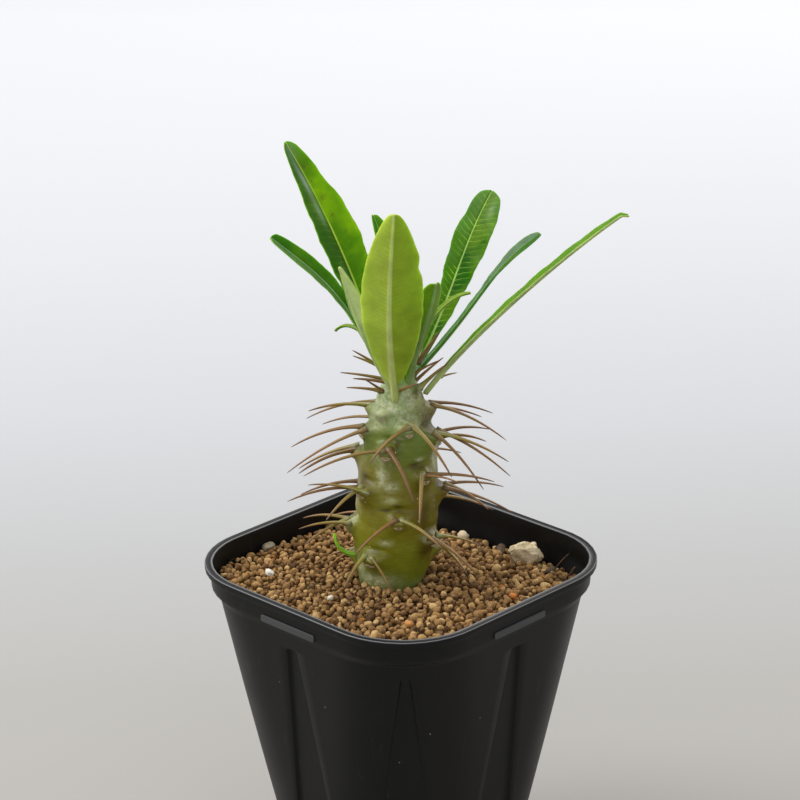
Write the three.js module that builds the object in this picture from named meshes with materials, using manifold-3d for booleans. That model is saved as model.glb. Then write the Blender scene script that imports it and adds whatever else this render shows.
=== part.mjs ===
// Potted pachypodium ambongense: a young spiny succulent with a waxy green stem
// and waved leaves, in a square tapered nursery pot filled with clay granules.
// Millimetres, +Z up. The origin is under the middle of the pot's base.

import * as THREE from 'three';
import { mergeVertices } from 'three/addons/utils/BufferGeometryUtils.js';
import Module from 'manifold-3d';

const wasm = await Module();
wasm.setup();

// Pot: moulded plastic, 90 mm across the lip
const potHeight = 100;
const lip = { half: 45, corner: 23.7, height: 1.8, edgeRound: 0.3 };
const band = { topHalf: 43.8, footHalf: 43.5, corner: 22.8, footBelowRim: 7.8 };
const body = { topHalf: 43, baseHalf: 29.5, corner: 28, topBelowRim: 10 };
const wall = 1;
const floorThickness = 1.4;
const baseChamfer = 0.7;
const flute = { belowRim: 13, topRun: 0.4, depth: 0.9, sideRun: 0.25, innerWiden: 0.75, leastRidge: 0.2 };
const faceFlute = { topWidth: 4, growth: 0.187 };
const cornerFlute = { topWidth: 3.1, growth: 0.234 };
const cornerShares = [0.52, 0.68, 0.84];
const bar = { length: 20, height: 2, proud: 0.45, belowRim: 6.2, sunk: 1 };
const drain = { count: 4, ringRadius: 15, radius: 3.5, sides: 14, cut: 6 };

// Soil: clay granules, drawn larger than life as a domed relief
const clearance = 0.35;
const granule = {
  edge: 3.4, rise: 0.95, leastRise: 0.5, drop: 0.95, leastDrop: 0.4, jitter: 0.6, seed: 11,
};
const slab = { depth: 14, reach: 1.25 };
const soilLevel = { centre: 94.6, slopeX: 0.035, slopeY: -0.03, hollowY: 0.0024 };

// Stem: radius and height pairs up the profile, from the root tip to the crown
const rootTip = 66;
const stemProfile = [
  [2.5, rootTip], [5.2, 76], [7.6, 86], [9, 95], [10.2, 99.5], [11.1, 105], [11.3, 113], [11.2, 120],
  [10.6, 128], [9.7, 134], [8.4, 139], [7.3, 143], [6.6, 146], [6.2, 148.4], [5.1, 150.8], [3.8, 152.6],
  [2.4, 154.2], [1.2, 155.2],
];
const crownHeight = 153;
const endZone = 5;
const stemFoot = { x: -1.3, y: -2.3, height: 95 };
const stemRings = 27;
const stemSides = 22;

// Tubercles climb the stem in one spiral, 137.5 degrees apart
const spiral = { turn: -137.5, startAngle: -44.1, startHeight: 116.2 };
const tubercle = {
  first: -7, last: 18, step: 2.4, denseFrom: 8, denseStep: 1.2,
  rise: 2.8, wide: 2.7, above: 1.7, below: 3.2, fadeFrom: 141, fadeTo: 155,
};
const spine = {
  sides: 4, rings: 4, sunk: 2.2, baseRadius: 0.75, tipRadius: 0.16,
  length: 17, lengthSpread: 4, spread: 52, spreadVary: 14, sag: 2.6, droop: 23,
  middleShare: 0.6, rootShare: 0.6, seed: 23,
};
const crownSpine = {
  from: 12, last: 15, firstLength: 13.5, length: 9.5, baseRadius: 0.5, firstDroop: 11, lift: 40,
};
// Single spines between the leaf roots
const tuftSpines = [
  { angle: -144, height: 149.4, lift: 26, length: 12 },
  { angle: -137, height: 148.4, lift: 8, length: 13 },
  { angle: -134, height: 147.2, lift: -2, length: 10 },
  { angle: 40, height: 146.8, lift: 30, length: 13 },
  { angle: 4, height: 147.2, lift: 28, length: 12 },
  { angle: 124, height: 148.4, lift: 30, length: 10 },
];
const footSpine = { upTo: -3, length: 12, droop: 9 };
const thirdSpineEvery = 3;

// Leaves: blade and rib sizes shared by all
const bladeThickness = 0.7;
const petiole = { half: 1, share: 0.1, taper: 4 };
const rib = { half: 0.7, bladeShare: 0.5, rootDepth: 1.1, tipDepth: 0.15, fullFrom: 8 };
const waveLength = 10;
const curlFrom = 0.93;
const tipCrowding = 1.6;
const fewestStations = 6;
const usualTipHalf = 0.4;
const bladeColumns = [1, 0.55];
const stationStep = 5;

// Each leaf: the angle, radius and height of its root, then the angle, reach and
// height of its tip, its rise at root and tip, how far it keeps those directions,
// then the blade: width, widest place, bluntness, fold, roll and edge wave. Bow
// sets the rib off its plane, lean makes one half of the blade the wider, tipHalf
// is half the width of a blunt tip.
const leaves = [
  { name: 'leaf_front', rootAngle: -59, rootRadius: 5.7, rootHeight: 149,
    tipAngle: -48.5, reach: 29.2, tipHeight: 208.3, rootRise: 65, tipRise: 77, hold: [0.32, 0.4],
    width: 16.4, widest: 0.55, blunt: 0.58, fold: 8, roll: -4, wave: 0.25, bow: -1.4, lean: 0.07 },
  { name: 'leaf_left_large', rootAngle: -179, rootRadius: 1.8, rootHeight: 150.9,
    tipAngle: -164.2, reach: 34, tipHeight: 214.1, rootRise: 65, tipRise: 55, hold: [0.39, 0.41],
    width: 13.7, widest: 0.55, blunt: 0.8, fold: 15, roll: -18, wave: 0.25, tipHalf: 1.1 },
  { name: 'leaf_left_low', rootAngle: -94, rootRadius: 2.1, rootHeight: 150.7,
    tipAngle: -129.5, reach: 33.8, tipHeight: 194, rootRise: 63.5, tipRise: 40.4, hold: [0.59, 0.38],
    width: 6.7, widest: 0.68, blunt: 0.39, fold: 20, roll: -30, wave: 0.1, lean: 0.05, tipHalf: 0.7 },
  { name: 'leaf_left_young', rootAngle: -61, rootRadius: 3.6, rootHeight: 150.1,
    tipAngle: -98.9, reach: 19.4, tipHeight: 188.4, rootRise: 58, tipRise: 71, hold: [0.41, 0.34],
    width: 8, widest: 0.59, blunt: 1.1, fold: 19, roll: 8, wave: 0.1 },
  { name: 'leaf_left_hook', rootAngle: 171, rootRadius: 4.4, rootHeight: 149.8,
    tipAngle: -162, reach: 19.5, tipHeight: 163.3, rootRise: 74, tipRise: -52, hold: [0.76, 0.28],
    width: 1.8, widest: 0.6, blunt: 0.9, fold: 10, roll: 0, wave: 0 },
  { name: 'leaf_back_small', rootAngle: 131, rootRadius: 4.6, rootHeight: 149.9,
    tipAngle: 152.3, reach: 21.7, tipHeight: 192.1, rootRise: 65, tipRise: 42, hold: [0.35, 0.37],
    width: 8.1, widest: 0.61, blunt: 0.53, fold: 28, roll: 14, wave: 0.15, bow: -0.9 },
  { name: 'leaf_back_right', rootAngle: 99, rootRadius: 5.2, rootHeight: 151.4,
    tipAngle: 83, reach: 32.3, tipHeight: 198.8, rootRise: 53, tipRise: 52, hold: [0.42, 0.33],
    width: 12.7, widest: 0.71, blunt: 0.5, fold: 3, roll: 3, wave: 0.2, lean: -0.14, tipHalf: 1.3 },
  { name: 'leaf_right_short', rootAngle: 3, rootRadius: 3, rootHeight: 150.1,
    tipAngle: -12.6, reach: 16.7, tipHeight: 184.4, rootRise: 80, tipRise: 77, hold: [0.35, 0.27],
    width: 8.3, widest: 0.72, blunt: 0.4, fold: 21, roll: -2, wave: 0.12 },
  { name: 'leaf_right_curl', rootAngle: 44, rootRadius: 2.5, rootHeight: 151.7,
    tipAngle: 48, reach: 19, tipHeight: 176.5, rootRise: 88, tipRise: 4, hold: [0.32, 0.31],
    width: 2.7, widest: 0.6, blunt: 0.6, fold: 14, roll: 0, wave: 0 },
  { name: 'leaf_right_narrow', rootAngle: 80, rootRadius: 3.9, rootHeight: 152.8,
    tipAngle: 53.9, reach: 38.1, tipHeight: 191.1, rootRise: 46.1, tipRise: 31.4, hold: [0.54, 0.32],
    width: 5.4, widest: 0.86, blunt: 0.83, fold: 8, roll: 8, wave: 0.1, lean: -0.06, tipHalf: 0.7 },
  { name: 'leaf_right_long', rootAngle: 38, rootRadius: 6.3, rootHeight: 149,
    tipAngle: 35.5, reach: 60.2, tipHeight: 202.3, rootRise: 54.6, tipRise: 33.8, hold: [0.33, 0.15],
    curl: 1.2, width: 6.5, widest: 0.57, blunt: 0.55, fold: 9, roll: 2, wave: 0.12, lean: -0.07 },
  { name: 'leaf_foot', rootAngle: -127, rootRadius: 10.4, rootHeight: 101.8,
    tipAngle: -129.7, reach: 17.9, tipHeight: 108.3, rootRise: 0, tipRise: 88, hold: [0.55, 0.45],
    width: 2, widest: 0.5, blunt: 0.9, fold: 10, roll: 0, wave: 0 },
];

// Pumice stone lying on the soil
const stone = {
  x: 13.8, y: 36.2, sunk: 1.1, half: [5, 3.2, 3.7], turn: 44, roughness: 0.22, detail: 2, seed: 5,
};

// Colours, roughness and metalness of the surfaces
const finishes = {
  pot: { color: 0x17181a, roughness: 0.5, metalness: 0 },
  soil: { color: 0xb98a58, roughness: 0.95, metalness: 0 },
  stone: { color: 0xcbbba4, roughness: 0.9, metalness: 0 },
  stem: { color: 0x6d7a2c, roughness: 0.45, metalness: 0 },
  leaf: { color: 0x3f8420, roughness: 0.4, metalness: 0 },
};

const weldDistance = 1e-4;
const up = new THREE.Vector3(0, 0, 1);

function radians(degrees) {
  return THREE.MathUtils.degToRad(degrees);
}

// The level direction at an angle in degrees about the upright axis
function outwardAt(angle) {
  return new THREE.Vector3(Math.cos(radians(angle)), Math.sin(radians(angle)), 0);
}

// A repeatable stream of numbers from 0 to 1
function seededRandom(seed) {
  const multiplier = 16807;
  const modulus = 2147483647;
  let state = seed;
  return () => {
    state = (state * multiplier) % modulus;
    return state / modulus;
  };
}

function toSolid(geometry) {
  const bare = geometry.clone();
  bare.deleteAttribute('normal');
  bare.deleteAttribute('uv');
  const merged = mergeVertices(bare, weldDistance);
  const vertProperties = new Float32Array(merged.attributes.position.array);
  const triVerts = new Uint32Array(merged.index.array);
  return new wasm.Manifold(new wasm.Mesh({ numProp: 3, vertProperties, triVerts }));
}

function toGeometry(solid) {
  const mesh = solid.getMesh();
  const geometry = new THREE.BufferGeometry();
  geometry.setAttribute('position', new THREE.BufferAttribute(mesh.vertProperties, 3));
  geometry.setIndex(new THREE.BufferAttribute(mesh.triVerts, 1));
  geometry.computeVertexNormals();
  return geometry;
}

function fromTriangles(points, triangles) {
  const geometry = new THREE.BufferGeometry();
  geometry.setAttribute('position', new THREE.Float32BufferAttribute(points.flatMap((p) => p.toArray()), 3));
  geometry.setIndex(triangles.flat());
  return geometry;
}

// A closed skin over rings of equal count, each end closed by a fan
function loft(rings) {
  const count = rings[0].length;
  const points = rings.flat();
  const triangles = [];
  for (let k = 0; k < rings.length - 1; k += 1) {
    for (let i = 0; i < count; i += 1) {
      const j = (i + 1) % count;
      const low = k * count;
      const high = low + count;
      triangles.push([low + i, low + j, high + j], [low + i, high + j, high + i]);
    }
  }
  const middle = (ring) => ring.reduce((sum, p) => sum.add(p), new THREE.Vector3()).divideScalar(count);
  const foot = points.push(middle(rings[0])) - 1;
  const head = points.push(middle(rings.at(-1))) - 1;
  const last = (rings.length - 1) * count;
  for (let i = 0; i < count; i += 1) {
    const j = (i + 1) % count;
    triangles.push([foot, j, i], [head, last + i, last + j]);
  }
  return fromTriangles(points, triangles);
}

// One ring of the pot: a rounded square with eight flutes let into it, four in
// the faces and four at the corners. Above their top the flutes have no depth.
function potRing(half, corner, height, inset) {
  const belowTop = potHeight - flute.belowRim - height;
  const depth = belowTop > 0 ? flute.depth : 0;
  const straight = half - corner;
  const eighth = straight + corner * Math.PI / 4;
  const widen = inset * flute.innerWiden;
  const faceHalf = (faceFlute.topWidth + faceFlute.growth * Math.max(belowTop, 0)) / 2 + widen;
  const cornerHalf = (cornerFlute.topWidth + cornerFlute.growth * Math.max(belowTop, 0)) / 2 + widen;
  const ridgeMiddle = (faceHalf + eighth - cornerHalf) / 2;
  const ridgeHalf = Math.max((eighth - cornerHalf - faceHalf) / 2, flute.leastRidge / 2);
  const face = ridgeMiddle - ridgeHalf;
  const edge = ridgeMiddle + ridgeHalf;
  const stops = [
    [0, depth], [face - flute.sideRun, depth], [face, 0],
    ...cornerShares.map((share) => [THREE.MathUtils.lerp(face, edge, share), 0]),
    [edge, 0], [edge + flute.sideRun, depth], [(edge + eighth) / 2, depth], [eighth, depth],
  ];
  const place = ([along, recess]) => {
    const turn = Math.max(along - straight, 0) / corner;
    const reach = corner - inset - recess;
    return [straight + reach * Math.cos(turn), Math.min(along, straight) + reach * Math.sin(turn)];
  };
  const first = stops.map(place);
  const second = first.slice(1, -1).reverse().map(([x, y]) => [y, x]);
  const quarter = [...first, ...second];
  const ring = [];
  for (let k = 0; k < 4; k += 1) {
    const turn = k * Math.PI / 2;
    quarter.forEach(([x, y]) => ring.push(new THREE.Vector3(x, y, height).applyAxisAngle(up, turn)));
  }
  return ring;
}

// The pot's wall below the lip, from the base up, moved in by the given amount
function wallRings(inset, foot) {
  const bodyTop = potHeight - body.topBelowRim;
  const slope = (body.topHalf - body.baseHalf) / bodyTop;
  const fluteTop = potHeight - flute.belowRim;
  const levels = [foot, fluteTop - flute.topRun, fluteTop + flute.innerWiden * inset, bodyTop];
  return [
    ...levels.map((level) => potRing(body.baseHalf + slope * level, body.corner, level, inset)),
    potRing(band.footHalf, band.corner, potHeight - band.footBelowRim, inset),
  ];
}

function makePot() {
  const lipFoot = potHeight - lip.height;
  const outer = [
    potRing(body.baseHalf - baseChamfer, body.corner - baseChamfer, 0, 0),
    ...wallRings(0, baseChamfer),
    potRing(band.topHalf, band.corner, lipFoot, 0),
    potRing(lip.half, lip.corner, lipFoot, 0),
    potRing(lip.half, lip.corner, potHeight - lip.edgeRound, 0),
    potRing(lip.half - lip.edgeRound, lip.corner - lip.edgeRound, potHeight, 0),
  ];
  const hollow = [
    ...wallRings(wall, floorThickness),
    potRing(band.topHalf, band.corner, potHeight + 1, wall),
  ];
  let pot = toSolid(loft(outer)).subtract(toSolid(loft(hollow)));
  const barDepth = bar.proud + bar.sunk;
  for (let k = 0; k < 4; k += 1) {
    const plate = new THREE.BoxGeometry(barDepth, bar.length, bar.height);
    plate.translate(band.footHalf + bar.proud - barDepth / 2, 0, potHeight - bar.belowRim);
    plate.rotateZ(k * Math.PI / 2);
    pot = pot.add(toSolid(plate).subtract(toSolid(loft(hollow))));
  }
  for (let k = 0; k < drain.count; k += 1) {
    const angle = (k + 0.5) * 2 * Math.PI / drain.count;
    const hole = new THREE.CylinderGeometry(drain.radius, drain.radius, drain.cut, drain.sides);
    hole.rotateX(Math.PI / 2);
    hole.translate(drain.ringRadius * Math.cos(angle), drain.ringRadius * Math.sin(angle), 0);
    pot = pot.subtract(toSolid(hole));
  }
  return toGeometry(pot);
}

// Height of the soil before its granules: nearly level, lower along the +Y wall
function soilHeight(x, y) {
  const back = Math.max(y, 0);
  return soilLevel.centre + soilLevel.slopeX * x + soilLevel.slopeY * y - soilLevel.hollowY * back * back;
}

// A slab whose top is a net of small domes: every third point is a granule's top
function granuleSlab() {
  const random = seededRandom(granule.seed);
  const reach = Math.ceil(lip.half * slab.reach / granule.edge);
  const size = 2 * reach + 1;
  const vary = () => (random() - 0.5) * 2 * granule.jitter;
  const top = [];
  for (let r = -reach; r <= reach; r += 1) {
    for (let q = -reach; q <= reach; q += 1) {
      const column = q - Math.floor(r / 2);
      const x = granule.edge * (column + r / 2) + vary();
      const y = granule.edge * r * Math.sqrt(3) / 2 + vary();
      const isTop = ((column - r) % 3 + 3) % 3 === 0;
      const share = random();
      const rise = granule.rise * (granule.leastRise + share);
      const drop = granule.drop * THREE.MathUtils.lerp(granule.leastDrop, 1, share);
      const lift = isTop ? rise : -drop;
      top.push(new THREE.Vector3(x, y, soilHeight(x, y) + lift));
    }
  }
  const low = top.map((p) => new THREE.Vector3(p.x, p.y, soilLevel.centre - slab.depth));
  const total = size * size;
  const triangles = [];
  const at = (r, q) => r * size + q;
  for (let r = 0; r < size - 1; r += 1) {
    const even = (r - reach) % 2 === 0;
    for (let q = 0; q < size - 1; q += 1) {
      const [a, b, c, d] = [at(r, q), at(r, q + 1), at(r + 1, q + 1), at(r + 1, q)];
      const pair = even ? [[a, b, d], [b, c, d]] : [[a, b, c], [a, c, d]];
      pair.forEach(([i, j, k]) => triangles.push([i, j, k], [total + i, total + k, total + j]));
    }
  }
  for (let i = 0; i < size - 1; i += 1) {
    const sides = [
      [at(0, i), at(0, i + 1)], [at(i, size - 1), at(i + 1, size - 1)],
      [at(size - 1, i + 1), at(size - 1, i)], [at(i + 1, 0), at(i, 0)],
    ];
    sides.forEach(([a, b]) => triangles.push([a, total + a, total + b], [a, total + b, b]));
  }
  return fromTriangles([...top, ...low], triangles);
}

function makeSoil(stemHole, stoneHole) {
  const inset = wall + clearance;
  const column = [
    ...wallRings(inset, floorThickness + clearance),
    potRing(band.topHalf, band.corner, potHeight, inset),
  ];
  const relief = toSolid(granuleSlab());
  const fill = toSolid(loft(column));
  const split = soilLevel.centre - slab.depth / 2;
  const lid = new THREE.BoxGeometry(4 * lip.half, 4 * lip.half, potHeight);
  lid.translate(0, 0, split + potHeight / 2);
  const lower = fill.subtract(toSolid(lid));
  return toGeometry(lower.add(fill.intersect(relief)).subtract(stemHole).subtract(stoneHole));
}

function stemAxis(height) {
  const share = THREE.MathUtils.clamp((crownHeight - height) / (crownHeight - stemFoot.height), 0, 1) ** 2;
  return new THREE.Vector3(stemFoot.x * share, stemFoot.y * share, height);
}

function tubercles() {
  const list = [];
  for (let k = tubercle.first; k <= tubercle.last; k += 1) {
    const plain = Math.min(k, tubercle.denseFrom);
    const dense = Math.max(k - tubercle.denseFrom, 0);
    const height = spiral.startHeight + tubercle.step * plain + tubercle.denseStep * dense;
    list.push({ number: k, angle: spiral.startAngle + spiral.turn * k, height });
  }
  return list;
}

function bumpAt(angle, height, radius) {
  return tubercles().reduce((sum, one) => {
    const turn = radians(angle - one.angle);
    const around = Math.atan2(Math.sin(turn), Math.cos(turn)) * radius;
    const along = height - one.height;
    const tall = along > 0 ? tubercle.above : tubercle.below;
    const share = 1 - THREE.MathUtils.smoothstep(one.height, tubercle.fadeFrom, tubercle.fadeTo);
    return sum + share * tubercle.rise * Math.exp(-((around / tubercle.wide) ** 2) - (along / tall) ** 2);
  }, 0);
}

// The stem from its root tip to the crown, grown by the given amount all round
function stemBody(grow) {
  const profile = stemProfile.map(([radius, height]) => new THREE.Vector2(radius, height));
  const curve = new THREE.SplineCurve(profile);
  const samples = curve.getSpacedPoints(stemRings);
  const rings = samples.map(({ x: radius, y: height }) => {
    const atCrown = THREE.MathUtils.smoothstep(height, crownHeight - endZone, crownHeight);
    const atRoot = 1 - THREE.MathUtils.smoothstep(height, rootTip, rootTip + endZone);
    const lift = grow * (atCrown - atRoot);
    const ring = [];
    for (let i = 0; i < stemSides; i += 1) {
      const angle = i * 360 / stemSides;
      const reach = radius + grow + bumpAt(angle, height, radius);
      const offset = outwardAt(angle).multiplyScalar(reach);
      ring.push(stemAxis(height).add(offset).add(new THREE.Vector3(0, 0, lift)));
    }
    return ring;
  });
  return loft(rings);
}

function stemRadius(height) {
  const above = Math.max(stemProfile.findIndex(([, level]) => level > height), 1);
  const [lowRadius, low] = stemProfile[above - 1];
  const [highRadius, high] = stemProfile[above];
  return THREE.MathUtils.mapLinear(height, low, high, lowRadius, highRadius);
}

// A tapered spine along a sagging path, its root sunk in the stem
function spineSolid(root, direction, length, baseRadius) {
  const side = new THREE.Vector3().crossVectors(direction, up).normalize();
  const top = new THREE.Vector3().crossVectors(side, direction);
  const rings = [];
  for (let k = 0; k < spine.rings; k += 1) {
    const share = k / (spine.rings - 1);
    const along = -spine.sunk + (length + spine.sunk) * share;
    const centre = root.clone().addScaledVector(direction, along);
    centre.z -= spine.sag * share * share * length / spine.length;
    const radius = THREE.MathUtils.lerp(baseRadius, spine.tipRadius, share);
    const ring = [];
    for (let i = 0; i < spine.sides; i += 1) {
      const angle = i * 2 * Math.PI / spine.sides;
      const point = centre.clone();
      point.addScaledVector(side, -radius * Math.cos(angle));
      point.addScaledVector(top, radius * Math.sin(angle));
      ring.push(point);
    }
    rings.push(ring);
  }
  return toSolid(loft(rings));
}

function spinesOf(one, random) {
  const isCrown = one.number >= crownSpine.from;
  const isFoot = one.number <= footSpine.upTo;
  const crownShare = (one.number - crownSpine.from) / (crownSpine.last - crownSpine.from);
  const outward = outwardAt(one.angle);
  const around = new THREE.Vector3().crossVectors(up, outward);
  const reach = stemRadius(one.height) + tubercle.rise * spine.rootShare;
  const root = stemAxis(one.height).addScaledVector(outward, reach);
  const sides = one.number % thirdSpineEvery === 0 ? [-1, 1, 0] : [-1, 1];
  return sides.map((hand) => {
    const vary = random() - 0.5;
    const spread = radians(hand * (spine.spread + spine.spreadVary * vary));
    let droop = spine.droop;
    let length = spine.length + spine.lengthSpread * vary;
    if (isFoot) {
      droop = footSpine.droop;
      length = footSpine.length;
    }
    if (isCrown) {
      droop = THREE.MathUtils.lerp(crownSpine.firstDroop, -crownSpine.lift, crownShare);
      length = THREE.MathUtils.lerp(crownSpine.firstLength, crownSpine.length, crownShare);
    }
    if (hand === 0) length *= spine.middleShare;
    const baseRadius = isCrown ? crownSpine.baseRadius : spine.baseRadius;
    const tilt = radians(droop);
    const direction = outward.clone().multiplyScalar(Math.cos(spread) * Math.cos(tilt));
    direction.addScaledVector(around, Math.sin(spread) * Math.cos(tilt));
    direction.z = -Math.sin(tilt);
    return spineSolid(root, direction, length, baseRadius);
  });
}

function makeStem() {
  const random = seededRandom(spine.seed);
  let stem = toSolid(stemBody(0));
  const spiny = tubercles().filter((one) => one.number <= crownSpine.last);
  spiny.forEach((one) => spinesOf(one, random).forEach((each) => {
    stem = stem.add(each);
  }));
  tuftSpines.forEach((one) => {
    const outward = outwardAt(one.angle);
    const root = stemAxis(one.height).addScaledVector(outward, stemRadius(one.height));
    const direction = outward.clone().multiplyScalar(Math.cos(radians(one.lift)));
    direction.z = Math.sin(radians(one.lift));
    stem = stem.add(spineSolid(root, direction, one.length, crownSpine.baseRadius));
  });
  return toGeometry(stem);
}

// The rib of a leaf, from inside the crown to the tip
function ribCurve(leaf) {
  const root = outwardAt(leaf.rootAngle).multiplyScalar(leaf.rootRadius);
  root.z = leaf.rootHeight;
  const tip = outwardAt(leaf.tipAngle).multiplyScalar(leaf.reach);
  tip.z = leaf.tipHeight;
  const level = new THREE.Vector3(tip.x - root.x, tip.y - root.y, 0).normalize();
  const aim = (rise) => {
    const direction = level.clone().multiplyScalar(Math.cos(radians(rise)));
    return direction.addScaledVector(up, Math.sin(radians(rise)));
  };
  const [rootHold, tipHold] = leaf.hold.map((share) => share * root.distanceTo(tip));
  return new THREE.CubicBezierCurve3(
    root, root.clone().addScaledVector(aim(leaf.rootRise), rootHold),
    tip.clone().addScaledVector(aim(leaf.tipRise), -tipHold), tip);
}

// Half the blade's width: a narrow stalk, widest past the middle, then the tip
function halfWidth(leaf, share) {
  const blade = THREE.MathUtils.clamp((share - petiole.share) / (1 - petiole.share), 0, 1);
  const peak = Math.log(0.5) / Math.log(leaf.widest);
  const swell = Math.max(Math.sin(Math.PI * blade ** peak), 0) ** leaf.blunt;
  const stalk = Math.min(petiole.half, leaf.width / 2);
  const tipHalf = leaf.tipHalf ?? usualTipHalf;
  return THREE.MathUtils.lerp(stalk, tipHalf, share ** petiole.taper) + (leaf.width / 2 - stalk) * swell;
}

function leafSection(leaf, curve, share) {
  const centre = curve.getPoint(share);
  centre.z -= (leaf.curl ?? 0) * THREE.MathUtils.smoothstep(share, curlFrom, 1);
  const along = curve.getTangent(share);
  const side = outwardAt(leaf.tipAngle + 90);
  side.addScaledVector(along, -side.dot(along)).normalize();
  side.applyAxisAngle(along, radians(leaf.roll));
  const face = new THREE.Vector3().crossVectors(along, side);
  centre.addScaledVector(side, (leaf.bow ?? 0) * Math.sin(Math.PI * share));
  const half = halfWidth(leaf, share);
  const lean = leaf.lean ?? 0;
  const opening = THREE.MathUtils.smoothstep(share, 0, 2 * petiole.share);
  const fold = radians(leaf.fold) * opening;
  const ribHalf = Math.min(rib.half, half * rib.bladeShare);
  const slender = Math.min(leaf.width / rib.fullFrom, 1);
  const ribDepth = slender * THREE.MathUtils.lerp(rib.rootDepth, rib.tipDepth, share);
  const outside = bladeColumns.map((column) => column * half);
  const inside = outside.toReversed();
  const left = outside.map((offset) => -offset * (1 - lean));
  const right = inside.map((offset) => offset * (1 + lean));
  const offsets = [...left, -ribHalf, 0, ribHalf, ...right];
  const waves = curve.getLength() / waveLength;
  const upper = [];
  const lower = [];
  offsets.forEach((offset) => {
    const outer = Math.abs(offset) / half;
    const phase = offset < 0 ? 0 : Math.PI / 2;
    const fade = Math.sin(Math.PI * share);
    const ripple = leaf.wave * fade * outer * outer * Math.sin(2 * Math.PI * waves * share + phase);
    const top = centre.clone();
    top.addScaledVector(side, offset * Math.cos(fold));
    top.addScaledVector(face, Math.abs(offset) * Math.sin(fold) + ripple);
    const ridge = offset === 0 ? ribDepth : 0;
    upper.push(top);
    lower.push(top.clone().addScaledVector(face, -bladeThickness / Math.cos(fold) - ridge));
  });
  return { upper, lower };
}

// A closed blade, its upper and lower faces split into triangles alike
function bladeGeometry(sections) {
  const columns = sections[0].upper.length;
  const total = sections.length * columns;
  const points = [...sections.flatMap((s) => s.upper), ...sections.flatMap((s) => s.lower)];
  const top = (k, i) => k * columns + i;
  const under = (k, i) => total + top(k, i);
  const triangles = [];
  const addQuad = (a, b, c, d) => triangles.push([a, b, c], [a, c, d]);
  const last = sections.length - 1;
  const edge = columns - 1;
  for (let k = 0; k < last; k += 1) {
    for (let i = 0; i < edge; i += 1) {
      addQuad(top(k, i), top(k + 1, i), top(k + 1, i + 1), top(k, i + 1));
      addQuad(under(k, i), under(k, i + 1), under(k + 1, i + 1), under(k + 1, i));
    }
    addQuad(top(k, 0), under(k, 0), under(k + 1, 0), top(k + 1, 0));
    addQuad(top(k, edge), top(k + 1, edge), under(k + 1, edge), under(k, edge));
  }
  for (let i = 0; i < edge; i += 1) {
    addQuad(top(0, i), top(0, i + 1), under(0, i + 1), under(0, i));
    addQuad(top(last, i), under(last, i), under(last, i + 1), top(last, i + 1));
  }
  return fromTriangles(points, triangles);
}

function makeLeaf(leaf, grownStem) {
  const curve = ribCurve(leaf);
  const stations = Math.max(fewestStations, Math.round(curve.getLength() / stationStep));
  const sections = [];
  for (let k = 0; k <= stations; k += 1) {
    sections.push(leafSection(leaf, curve, 1 - (1 - k / stations) ** tipCrowding));
  }
  return toGeometry(toSolid(bladeGeometry(sections)).subtract(grownStem));
}

function stoneGeometry(grow) {
  const random = seededRandom(stone.seed);
  const geometry = new THREE.IcosahedronGeometry(1, stone.detail);
  geometry.deleteAttribute('normal');
  geometry.deleteAttribute('uv');
  const merged = mergeVertices(geometry, weldDistance);
  const place = merged.attributes.position;
  const [halfX, halfY, halfZ] = stone.half;
  for (let i = 0; i < place.count; i += 1) {
    const scale = 1 - stone.roughness * random();
    const x = place.getX(i) * (halfX * scale + grow);
    const y = place.getY(i) * (halfY * scale + grow);
    const z = place.getZ(i) * (halfZ * scale + grow);
    place.setXYZ(i, x, y, z);
  }
  merged.rotateZ(radians(stone.turn));
  merged.translate(stone.x, stone.y, soilHeight(stone.x, stone.y) + halfZ - stone.sunk);
  return merged;
}

function surface(finish) {
  return new THREE.MeshStandardMaterial(finishes[finish]);
}

const plant = new THREE.Group();

function addPiece(name, geometry, finish) {
  const mesh = new THREE.Mesh(geometry, surface(finish));
  mesh.name = name;
  plant.add(mesh);
}

const grownStem = toSolid(stemBody(clearance));
addPiece('pot', makePot(), 'pot');
addPiece('soil', makeSoil(grownStem, toSolid(stoneGeometry(clearance))), 'soil');
addPiece('pumice_stone', stoneGeometry(0), 'stone');
addPiece('stem', makeStem(), 'stem');
leaves.forEach((leaf) => addPiece(leaf.name, makeLeaf(leaf, grownStem), 'leaf'));

export default plant;
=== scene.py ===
# Potted pachypodium ambongense: a young spiny succulent in a square black nursery pot.
# Shapes are worked out in millimetres and laid down in metres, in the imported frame.
import math

import bmesh
import bpy
import numpy as np
from mathutils import Matrix, Vector, noise


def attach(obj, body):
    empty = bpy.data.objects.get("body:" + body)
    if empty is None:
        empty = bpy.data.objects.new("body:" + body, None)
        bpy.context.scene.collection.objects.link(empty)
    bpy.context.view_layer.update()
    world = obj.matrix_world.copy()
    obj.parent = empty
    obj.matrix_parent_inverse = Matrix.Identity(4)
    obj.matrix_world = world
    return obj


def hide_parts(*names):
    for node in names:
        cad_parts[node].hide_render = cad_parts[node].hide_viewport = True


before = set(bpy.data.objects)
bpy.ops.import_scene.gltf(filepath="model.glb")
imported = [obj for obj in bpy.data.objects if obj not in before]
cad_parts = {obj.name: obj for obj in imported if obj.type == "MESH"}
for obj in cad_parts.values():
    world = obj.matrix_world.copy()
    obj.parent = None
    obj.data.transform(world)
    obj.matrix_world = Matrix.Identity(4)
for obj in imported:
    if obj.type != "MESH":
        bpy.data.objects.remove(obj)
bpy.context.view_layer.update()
mm = 0.001
upward = np.array([0.0, 0.0, 1.0])
print("frame loaded,", len(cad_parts), "nodes")


# small tools

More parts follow.
